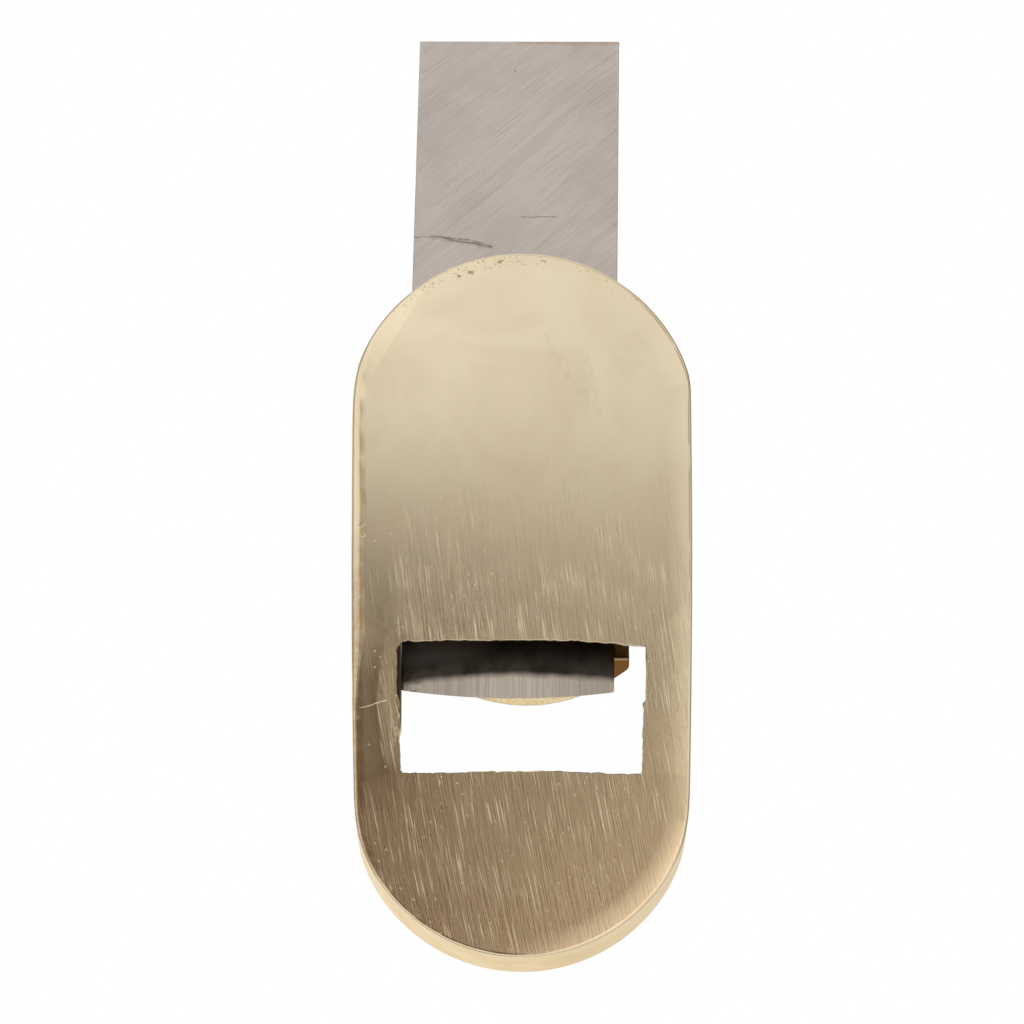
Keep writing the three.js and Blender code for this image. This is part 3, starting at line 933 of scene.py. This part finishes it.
iron_bm = bmesh.new()
arris_middle = 0.3 * iron_arris
steps = [(-iron_half, iron_arris), (arris_middle - iron_half, arris_middle), (iron_arris - iron_half, 0)]
steps += [(x, 0) for x in crowded(0.2 - iron_half, iron_half - 0.2, iron_steps, 0)]
steps += [(-x, inset) for x, inset in reversed(steps[:3])]
slices = [[(iron_bm.verts.new((x, *point)), kind) for point, kind in iron_profile(x, inset)]
          for x, inset in steps]
for left, right in zip(slices, slices[1:]):
    for k in range(len(left)):
        after = (k + 1) % len(left)
        face = iron_bm.faces.new((left[k][0], left[after][0], right[after][0], right[k][0]))
        face.material_index = left[k][1] if k < len(left) - 1 else GROUND
for end in (slices[0], slices[-1]):
    iron_bm.faces.new([vert for vert, _ in end])

ground_steel, tree, shader, spot = new_material("ground steel", iron_frame)
grind_lean = -0.70
stroke = place(tree, strokes, Place=spot, Lean=grind_lean, Width=0.06, Length=1.6)
streak = place(tree, strokes, Place=spot, Lean=grind_lean, Width=0.15, Length=9.0)
broad_streak = place(tree, strokes, Place=spot, Lean=grind_lean + 0.04, Width=0.6, Length=14.0)
grit = noisy(spot, 9.0, 2.0, 0.7)
edge = place(tree, worn, Start=0.52, Full=0.6)
nick = place(tree, scratches, Place=spot, Lean=grind_lean - 0.06, Width=0.05, Length=3.5, Rarity=0.74)
smudge = noisy(spot, 0.13, 5.0, 0.6, 0.6)
stains = marked(spot, ((6.1, 35.42), (4.4, 35.5), 0.07), ((4.7, 35.5), (3.3, 35.3), 0.1),
                ((3.7, 35.42), (1.7, 34.92), 0.065), ((4.1, 35.3), (1.4, 34.62), 0.075),
                ((2.6, 34.95), (1.5, 34.7), 0.1), ((-0.3, 37.24), (-2.5, 37.3), 0.055))
# A painted shadow, broader than the stains, laid along them.
painted_stain_shadow = marked(spot, ((5.0, 35.5), (1.5, 34.7), 0.3))
specks = ranged(noisy(spot, 2.6, 1.0), 0.775, 0.80, 0.0, 0.5)
tail_rust = marked(spot, ((0.0, iron_length), (-6.0, iron_length), 0.4))
side, back, _ = split(spot)
# The side that rests against the cheek is painted nearly black near the edge: painted shade between the
# iron and the cheek.
shaded_iron_side = times(ranged(side, 5.88, 5.97), ranged(back, 7.0, 4.0))
tint = layered(
    mixed(ranged(smudge, 0.35, 0.7), (0.60, 0.53, 0.475), (0.55, 0.48, 0.43)),
    (ranged(stroke, 0.5, 0.36, 0.0, 0.26), (0.34, 0.285, 0.24)),
    (ranged(stroke, 0.52, 0.66, 0.0, 0.24), (0.76, 0.70, 0.64)),
    (ranged(grit, 0.48, 0.34, 0.0, 0.22), (0.36, 0.305, 0.26)),
    (ranged(streak, 0.45, 0.34, 0.0, 0.3), (0.36, 0.30, 0.255)),
    (ranged(broad_streak, 0.5, 0.38, 0.0, 0.22), (0.40, 0.34, 0.29)),
    (times(nick, 0.3), (0.30, 0.25, 0.21)),
    (times(edge, 0.4), (0.72, 0.68, 0.63)),
    (times(painted_stain_shadow, 0.35), (0.30, 0.24, 0.20)),
    (times(stains, 0.66), (0.15, 0.11, 0.085)),
    (specks, (0.16, 0.12, 0.095)),
    (shaded_iron_side, (0.05, 0.033, 0.022)),
    (times(tail_rust, 0.4), (0.42, 0.28, 0.16)))
rough = plus(ranged(smudge, 0.3, 0.75, 0.24, 0.32), times(stroke, 0.1))
dress(shader, tint, rough, (stroke, 0.008), (plus(nick, stains), -0.006), metal=minus(1.0, shaded_iron_side))

# The strip by the edge is honed. Behind it the wheel's hollow is painted nearly black as painted shade,
# cast by the mouth's lip, and the painted shade is lighter at one side.
bevel_steel, tree, shader, spot = new_material("bevel steel", iron_frame)
flat = vector_maths("MULTIPLY", spot, (1, 1, 0))
x, y, _ = split(spot)
stroke = place(tree, strokes, Place=flat, Lean=0.02, Width=0.045, Length=1.6)
broad_stroke = place(tree, strokes, Place=flat, Width=0.16, Length=6.0)
shade_mottle = noisy(flat, 0.5, 4.0, 0.6)
x_squared = times(x, x)
behind_edge = minus(y, times(x_squared, 0.5 / camber_radius))
strip_width = minus(minus(strip_drop * honed_slope, times(x_squared, 0.0207)), times(x, 0.025))
into_shade = plus(minus(behind_edge, strip_width), ranged(shade_mottle, 0.3, 0.7, -0.05, 0.05))
# Out of the painted shade lies the honed strip.
out_of_shade = ranged(into_shade, 0.04, -0.42)
# The honed strip is painted darker away from its middle: painted shade from the mouth's corners.
shaded_strip_sides = ranged(maths("ABSOLUTE", plus(x, 0.9)), 0.8, 4.6)
steel_tint = layered(
    mixed(ranged(broad_stroke, 0.38, 0.62), (0.52, 0.445, 0.36), (0.68, 0.585, 0.48)),
    (ranged(stroke, 0.48, 0.62, 0.0, 0.5), (0.36, 0.30, 0.25)),
    (times(shaded_strip_sides, 0.5), (0.36, 0.30, 0.245)))
# The painted shade is lighter towards one side.
lighter_shade = times(ranged(x, -0.5, 4.5), ranged(into_shade, 0.5, 1.6))
dust = ranged(noisy(spot, 5.0, 3.0, 0.7), 0.68, 0.74, 0.0, 0.4)
# The painted shade behind the honed strip: nearly black, with dust laid over it.
painted_shade_tint = layered(
    mixed(ranged(shade_mottle, 0.35, 0.7), (0.06, 0.05, 0.04), (0.026, 0.02, 0.015)),
    (lighter_shade, (0.21, 0.185, 0.165)),
    (dust, (0.20, 0.17, 0.14)))
rust = times(ranged(noisy(spot, 3.0, 3.0, 0.65), 0.53, 0.6), ranged(x, 4.3, 5.8, 0.0, 0.95))
tint = layered(painted_shade_tint, (out_of_shade, steel_tint), (rust, (0.085, 0.045, 0.025)))
dress(shader, tint, ranged(out_of_shade, 0.0, 1.0, 0.42, 0.27), (stroke, 0.006),
      metal=minus(1.0, times(rust, 0.8)))

iron = new_mesh_object("visual_iron", iron_bm, (ground_steel, bevel_steel), iron_frame)
shade(iron, 20)
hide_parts("iron")
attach(iron, "iron")

# LEVER CAP
# A slice sawn off a round brass bar, with its sides filed flat, its nose left square from the saw and
# its tail rounded. A half-round notch across its back takes the pin, and the tail is tapped.
bar_radius, cap_half, cap_height, cap_arris = 6.9, 5.8, 3.65, 0.1
filed_from = 4.5
nose_place, tail_place = -10.5, 12.5
cap_shift = -0.27
screw_axis = Vector(joints["screw_travel"]["axis"])
cap_tilt = math.atan2(-screw_axis.y, screw_axis.z)
cap_frame = frame_at((cap_shift, pin_place.y, pin_place.z), cap_tilt)
notch_radius, stud_hole_radius, stud_place = 1.65, 2.1, 8.5
cap_steps, tail_steps = 24, 28


def back_drop(x):
    """How far the back falls away at one side of the crown. It is filed to a slope near the sides."""
    round_part = min(abs(x), filed_from)
    upright = math.sqrt(bar_radius ** 2 - round_part ** 2)
    return bar_radius - upright + (abs(x) - round_part) * round_part / upright


def cap_ring(half, y, inset, unevenness=0.0):
    """The cap's outline at one place along it: sides, eased upper corners, crowned back and flat foot."""
    half -= inset
    low = inset - cap_height
    ease = min(0.2, half * 0.4)
    right = [(half - cap_arris, low), (half, low + cap_arris)]
    start = (half, -back_drop(half) - 0.7 * ease - inset)
    corner, end = (half, -back_drop(half) - inset), (half - ease, -back_drop(half - ease) - inset)
    for t in (0, 0.25, 0.5, 0.75, 1):
        right.append(tuple((1 - t) ** 2 * a + 2 * t * (1 - t) * b + t * t * c
                           for a, b, c in zip(start, corner, end)))
    crown = [end[0] - 2 * end[0] * k / 30 for k in range(1, 30)]
    left = [(-x, z) for x, z in reversed(right)]
    bottom = [(left[-1][0] + 2 * right[0][0] * k / 10, low) for k in range(1, 10)]
    outline = right + [(x, -back_drop(x) - inset) for x in crown] + left + bottom
    rough_cut = [unevenness * (1 + noise.noise(Vector((x / 0.8, z / 0.8, 6.6)))) for x, z in outline]
    return [(x, y + cut_in, z) for (x, z), cut_in in zip(outline, rough_cut)]


cap_bm = bmesh.new()
tail_centre = tail_place - cap_half
cap_stations = [(cap_half, nose_place, 0.11, 0.025), (cap_half, nose_place + 0.03, 0.035, 0.025),
                (cap_half, nose_place + 0.12, 0, 0.02)]
cap_stations += [(cap_half, y, 0, 0) for y in crowded(nose_place + 0.5, tail_centre, cap_steps, 0)]
cap_stations += [(cap_half * math.cos(turn), tail_centre + cap_half * math.sin(turn), 0, 0)
                 for turn in (math.radians(86) * k / tail_steps for k in range(1, tail_steps + 1))]
cap_rings = [[cap_bm.verts.new(point) for point in cap_ring(*station)] for station in cap_stations]
for nearer, farther in zip(cap_rings, cap_rings[1:]):
    bridge(cap_bm, nearer, farther, 0)
cap_bm.faces.new(cap_rings[0])
cap_bm.faces.new(cap_rings[-1])

cap_brass, tree, shader, spot = new_material("sawn and filed brass", cap_frame)
x, y, z = split(spot)
smudge = noisy(spot, 0.25, 4.0, 0.6, 0.6)
grit = noisy(spot, 4.5, 3.0, 0.7)
stroke = place(tree, strokes, Place=spot, Lean=0.1, Width=0.12, Length=4.0)
nick = place(tree, scratches, Place=spot, Lean=-0.7, Width=0.06, Length=1.8, Rarity=0.72)
on_nose = ranged(y, nose_place + 0.25, nose_place + 0.08)
# The cap's underside is painted dark brown: painted shade where it lies deep between the iron and the
# cheeks.
below = ranged(z, 0.07 - cap_height, 0.01 - cap_height)
# A painted highlight along the nose's lower arris.
lower_arris_highlight = times(ranged(z, 0.22 - cap_height, 0.1 - cap_height), on_nose)
# The nose is painted darker brown at its sides: painted shade where the iron's side and the cheek shade it.
shaded_nose_sides = ranged(maths("ABSOLUTE", x), 4.3, 4.9)
sawn = times(on_nose, minus(1.0, shaded_nose_sides))
nose_tint = layered(
    mixed(ranged(grit, 0.35, 0.65), (0.88, 0.68, 0.35), (0.99, 0.86, 0.56)),
    (shaded_nose_sides, (0.46, 0.26, 0.10)))
tint = layered(
    mixed(ranged(smudge, 0.35, 0.7), (0.85, 0.68, 0.41), (0.76, 0.58, 0.32)),
    (on_nose, nose_tint),
    (times(lower_arris_highlight, 0.8), (0.90, 0.78, 0.58)),
    (times(below, 0.8), (0.17, 0.11, 0.05)))
rough = plus(ranged(smudge, 0.3, 0.75, 0.2, 0.34), times(minus(on_nose, sawn), 0.3))
dress(shader, tint, rough,
      (stroke, 0.007), (times(grit, on_nose), 0.02), (times(z, sawn), 0.62), (nick, -0.008))

lever_cap = new_mesh_object("visual_lever_cap", cap_bm, (cap_brass,), cap_frame)
cut(lever_cap, new_mesh_object("notch", round_bar(notch_radius, half_width), (cap_brass,), cap_frame))
tapped = turned([(0, -6), (stud_hole_radius, -6), (stud_hole_radius, 2), (0, 2)], 72)
bmesh.ops.translate(tapped, verts=tapped.verts, vec=(0, stud_place, 0))
cut(lever_cap, new_mesh_object("tapped hole", tapped, (cap_brass,), cap_frame))
shade(lever_cap, 34)
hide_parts("lever_cap")
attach(lever_cap, "cap")

# SCREW STUD
# A length of threaded steel rod with a rounded tip, which presses on the iron. It runs in the lever
# cap's tapped tail, and its top is fixed in the knob's bore.
screw_frame = frame_at(joint_place("screw_turn"), cap_tilt)
stud_radius, thread_pitch, thread_depth = 2.0, 0.7, 0.3
stud_tip, stud_top, stud_chamfer = -4.9786, 5.2, 0.2
tip_steps, rod_steps = 12, 118


def threaded(radius, height, turn):
    """A thread of flat-topped ridges, which runs out on the rounded tip."""
    phase = (height / thread_pitch - turn / (2 * math.pi)) % 1
    ridge = min(1, 1.35 * (1 - abs(2 * phase - 1)))
    return min(radius, stud_radius - thread_depth * (1 - ridge))


stud_profile = [(0, stud_tip)]
for k in range(1, tip_steps + 1):
    turn = math.pi / 2 * k / tip_steps
    stud_profile.append((stud_radius * math.sin(turn), stud_tip + stud_radius * (1 - math.cos(turn))))
rod_low, rod_high = stud_tip + stud_radius, stud_top - stud_chamfer
stud_profile += [(stud_radius, rod_low + (rod_high - rod_low) * k / rod_steps)
                 for k in range(1, rod_steps + 1)]
stud_profile += [(stud_radius - stud_chamfer, stud_top), (0, stud_top)]

stud_steel, tree, shader, spot = new_material("threaded steel rod", screw_frame)
smudge = noisy(spot, 0.8, 4.0, 0.6)
grit = noisy(spot, 7.0, 3.0, 0.6)
tint = mixed(ranged(smudge, 0.4, 0.7), (0.52, 0.50, 0.47), (0.33, 0.29, 0.25))
dress(shader, tint, ranged(smudge, 0.3, 0.75, 0.25, 0.42), (grit, 0.006))

stud_mesh = turned(stud_profile, 48, threaded)
screw_stud = new_mesh_object("visual_screw_stud", stud_mesh, (stud_steel,), screw_frame)
shade(screw_stud, 55)
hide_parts("screw_stud")
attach(screw_stud, "stud")

# SCREW KNOB
# Turned from brass bar with a collar below and a low crown on top. The rim has a straight knurl,
# pressed in before the chamfers were turned, so the ridges run out into them.
knob_radius, collar_radius, bore_radius = 4.5, 3.2, 2.1
collar_foot, collar_top, knob_top, bore_top = 1.5, 2.7, 7.3, 5.3
knob_chamfer, knob_crown = 0.5, 0.5
ridge_count, ridge_depth = 40, 0.3
chamfer_steps, rim_rows, crown_steps = 5, 8, 16
flat_radius = knob_radius - knob_chamfer
rim_low, rim_high = collar_top + knob_chamfer, knob_top - knob_crown - knob_chamfer


def knurled(radius, height, turn):
    """The rim is cut back between the ridges, down to the knurl's root."""
    if not rim_low - knob_chamfer - 0.01 < height < rim_high + knob_chamfer + 0.01 or radius < flat_radius:
        return radius
    phase = (turn * ridge_count / (2 * math.pi)) % 1
    ridge = min(1, 1.25 * (1 - abs(2 * phase - 1)))
    return min(radius, knob_radius - ridge_depth * (1 - ridge))


knob_profile = [(0, bore_top), (bore_radius, bore_top), (bore_radius, collar_foot + 0.1),
                (bore_radius + 0.1, collar_foot), (collar_radius - 0.12, collar_foot),
                (collar_radius - 0.03, collar_foot + 0.04), (collar_radius, collar_foot + 0.14),
                (collar_radius, collar_top - 0.16), (collar_radius + 0.05, collar_top - 0.04),
                (collar_radius + 0.17, collar_top), (flat_radius - 0.06, collar_top),
                (flat_radius + 0.02, collar_top + 0.05)]
chamfer = [knob_chamfer * k / chamfer_steps for k in range(1, chamfer_steps + 1)]
knob_profile += [(flat_radius + rise, collar_top + rise) for rise in chamfer]
knob_profile += [(knob_radius, rim_low + (rim_high - rim_low) * k / rim_rows)
                 for k in range(1, rim_rows + 1)]
knob_profile += [(knob_radius - rise, rim_high + rise) for rise in chamfer[:-1]]
for k in range(crown_steps, -1, -1):
    reach = (flat_radius - 0.03) * k / crown_steps
    knob_profile.append((reach, domed(reach, flat_radius, knob_crown, knob_top)))

knob_brass, tree, shader, spot = new_material("turned brass", screw_frame)
x, y, z = split(spot)
tool_marks = noisy(joined(maths("SQRT", plus(times(x, x), times(y, y))), z), 9.0, 4.0, 0.7)
smudge = noisy(spot, 0.35, 4.0, 0.6, 0.5)
edge = place(tree, worn, Start=0.53, Full=0.66)
nick = place(tree, scratches, Place=spot, Lean=0.7, Width=0.05, Length=0.8, Rarity=0.73)
tint = layered(
    mixed(ranged(smudge, 0.35, 0.7), (0.87, 0.71, 0.43), (0.78, 0.60, 0.33)),
    (times(edge, 0.5), (0.95, 0.83, 0.58)))
dress(shader, tint, ranged(smudge, 0.3, 0.75, 0.18, 0.3), (tool_marks, 0.008), (nick, -0.006))

knob_mesh = turned(knob_profile, 6 * ridge_count, knurled)
screw_knob = new_mesh_object("visual_screw_knob", knob_mesh, (knob_brass,), screw_frame)
shade(screw_knob, 30)
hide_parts("screw_knob")
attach(screw_knob, "knob")

# FLOOR, LIGHT AND CAMERA
# The tool is photographed from below, through a floor that only shows from above. The studio is a
# white sheet and a brown card below the tool, which the sole mirrors, and a grey horizon round it.
floor_reach, floor_drop = 1.5, -0.0001
floor_material = bpy.data.materials.new("pale floor")
floor_material.use_nodes = True
tree = floor_material.node_tree
tree.nodes.clear()
paper = noisy(add(tree, "ShaderNodeTexCoord").outputs["Object"], 60.0, 3.0)
pale = add(tree, "ShaderNodeBsdfDiffuse", {"Color": mixed(paper, (0.80, 0.80, 0.79), (0.84, 0.84, 0.83))})
clear = add(tree, "ShaderNodeBsdfTransparent")
behind = add(tree, "ShaderNodeNewGeometry").outputs["Backfacing"]
seen = add(tree, "ShaderNodeMixShader", {0: behind, 1: pale.outputs[0], 2: clear.outputs[0]})
add(tree, "ShaderNodeOutputMaterial", {"Surface": seen.outputs[0]})
floor_mesh = bpy.data.meshes.new("floor")
corners = [(x * floor_reach, y * floor_reach, floor_drop) for x, y in ((-1, -1), (1, -1), (1, 1), (-1, 1))]
floor_mesh.from_pydata(corners, [], [(0, 1, 2, 3)])
floor_mesh.materials.append(floor_material)
floor = bpy.data.objects.new("floor", floor_mesh)
bpy.context.scene.collection.objects.link(floor)
floor.visible_shadow = floor.visible_diffuse = floor.visible_glossy = floor.visible_transmission = False

world = bpy.data.worlds.new("studio")
bpy.context.scene.world = world
world.use_nodes = True
tree = world.node_tree
tree.nodes.clear()
way = add(tree, "ShaderNodeTexCoord").outputs["Generated"]
x, y, z = split(way)
down = maths("MAXIMUM", times(z, -1.0), 0.04)
heelward, sideward = over(y, down), over(x, down)
slanted = minus(heelward, times(sideward, 0.12))
level = maths("ABSOLUTE", z)


def steps_of_light(value, *steps):
    """A ramp through (place, colour) steps, where a colour can be one number for a grey."""
    ramp = add(value.id_data, "ShaderNodeValToRGB", {0: value})
    stops = ramp.color_ramp.elements
    stops[0].position, stops[1].position = steps[0][0], steps[-1][0]
    for position, _ in steps[1:-1]:
        stops.new(position)
    for stop, (_, color) in zip(stops, steps):
        stop.color = (*color, 1) if isinstance(color, tuple) else (color, color, color, 1)
    return ramp.outputs[0]


# The card's reflection lies on the toe half of the sole, and glows at its border.
card = steps_of_light(
    times(plus(sideward, 0.1), 5.0),
    (0.0, (0.47, 0.445, 0.37)), (0.12, (0.33, 0.31, 0.253)), (0.25, (0.265, 0.247, 0.20)),
    (0.4165, (0.27, 0.245, 0.195)), (0.456, (0.26, 0.232, 0.179)), (0.5, (0.245, 0.213, 0.163)),
    (0.575, (0.117, 0.091, 0.064)), (0.65, (0.07, 0.051, 0.037)), (0.75, (0.16, 0.141, 0.112)),
    (1.0, (0.39, 0.365, 0.31)))
toe_glow = mixed(ranged(sideward, 0.004, -0.016), (1.21, 1.0, 1.0), (2.6, 2.5, 2.85))
toe_glow = mixed(ranged(slanted, 0.142, 0.1305), (1, 1, 1), toe_glow)
card = vector_maths("MULTIPLY", card, toe_glow)
sheet = steps_of_light(
    heelward, (0.0, (0.86, 0.88, 0.92)), (0.20, (0.90, 0.93, 0.98)), (0.30, (0.95, 0.97, 1.0)),
    (0.36, (0.66, 0.65, 0.66)), (0.44, 0.50), (0.60, 0.80), (0.92, 0.9))
sheet = scaled(sheet, ranged(sideward, -0.02, 0.02, 0.93, 1.12))
sheet_edge = steps_of_light(
    ranged(slanted, 0.14, 0.19),
    (0.16, 0.0), (0.24, 0.04), (0.30, 0.13), (0.37, 0.31), (0.44, 0.46), (0.92, 1.0))
away = maths("MAXIMUM", maths("ABSOLUTE", sideward), times(heelward, -1.0))
below = mixed(ranged(away, 0.2, 0.5), mixed(sheet_edge, card, sheet), (0.88, 0.88, 0.88))

# The horizon is darkest level with the tool, and opens in a window at the heel and one at the toe.
horizon = steps_of_light(
    times(plus(z, 1.0), 0.5), (0.15, 0.88), (0.30, (0.66, 0.655, 0.65)), (0.43, (0.40, 0.395, 0.39)),
    (0.52, (0.30, 0.295, 0.29)), (0.62, 0.46), (0.78, (0.85, 0.85, 0.86)), (0.93, 1.0))
toeward = vector_maths("DOT_PRODUCT", way, (-0.55, -0.83, 0), "Value")
horizon = layered(
    scaled(horizon, ranged(x, -0.9, 0.9, 0.82, 1.2)),
    (times(ranged(y, 0.8, 0.93), ranged(level, 0.55, 0.35)), (0.87, 0.87, 0.87)),
    (times(ranged(toeward, 0.66, 0.82), ranged(level, 0.65, 0.4)), (0.74, 0.72, 0.68)))
around = mixed(ranged(z, -0.8, -0.55), below, horizon)
soft = add(tree, "ShaderNodeBackground", {"Color": around, "Strength": 1.0})
plain = add(tree, "ShaderNodeBackground", {"Color": (1, 1, 1, 1), "Strength": 1.0})
straight = add(tree, "ShaderNodeLightPath").outputs["Is Camera Ray"]
both = add(tree, "ShaderNodeMixShader", {0: straight, 1: soft.outputs[0], 2: plain.outputs[0]})
add(tree, "ShaderNodeOutputWorld", {"Surface": both.outputs[0]})

softbox_place = Vector((-0.35, -0.25, 0.6))
softbox_light = bpy.data.lights.new("overhead softbox", "AREA")
softbox_light.shape = "RECTANGLE"
softbox_light.size = softbox_light.size_y = 0.35
softbox_light.energy = 3.0
softbox = bpy.data.objects.new("overhead softbox", softbox_light)
softbox.location = softbox_place
softbox.rotation_euler = (-softbox_place).to_track_quat("-Z", "Y").to_euler()
softbox.visible_camera = softbox.visible_glossy = False
bpy.context.scene.collection.objects.link(softbox)

camera_tilt = math.radians(9.368)
camera_distance, camera_side, camera_rise = 0.5, 0.00055, 0.0051216
focal_pixels, image_pixels = 8904.5, 1024
right = Vector((-1, 0, 0))
up = Vector((0, math.cos(camera_tilt), -math.sin(camera_tilt)))
back = Vector((0, -math.sin(camera_tilt), -math.cos(camera_tilt)))
eye = back * camera_distance + up * camera_rise + Vector((camera_side, 0, 0))
lens = bpy.data.cameras.new("camera")
lens.sensor_width = 36
lens.lens = lens.sensor_width * focal_pixels / image_pixels
lens.clip_start = 0.01
camera = bpy.data.objects.new("camera", lens)
camera.matrix_world = Matrix((
    (right.x, up.x, back.x, eye.x), (right.y, up.y, back.y, eye.y),
    (right.z, up.z, back.z, eye.z), (0, 0, 0, 1)))
bpy.context.scene.collection.objects.link(camera)
bpy.context.scene.camera = camera
bpy.context.scene.view_settings.view_transform = "Standard"
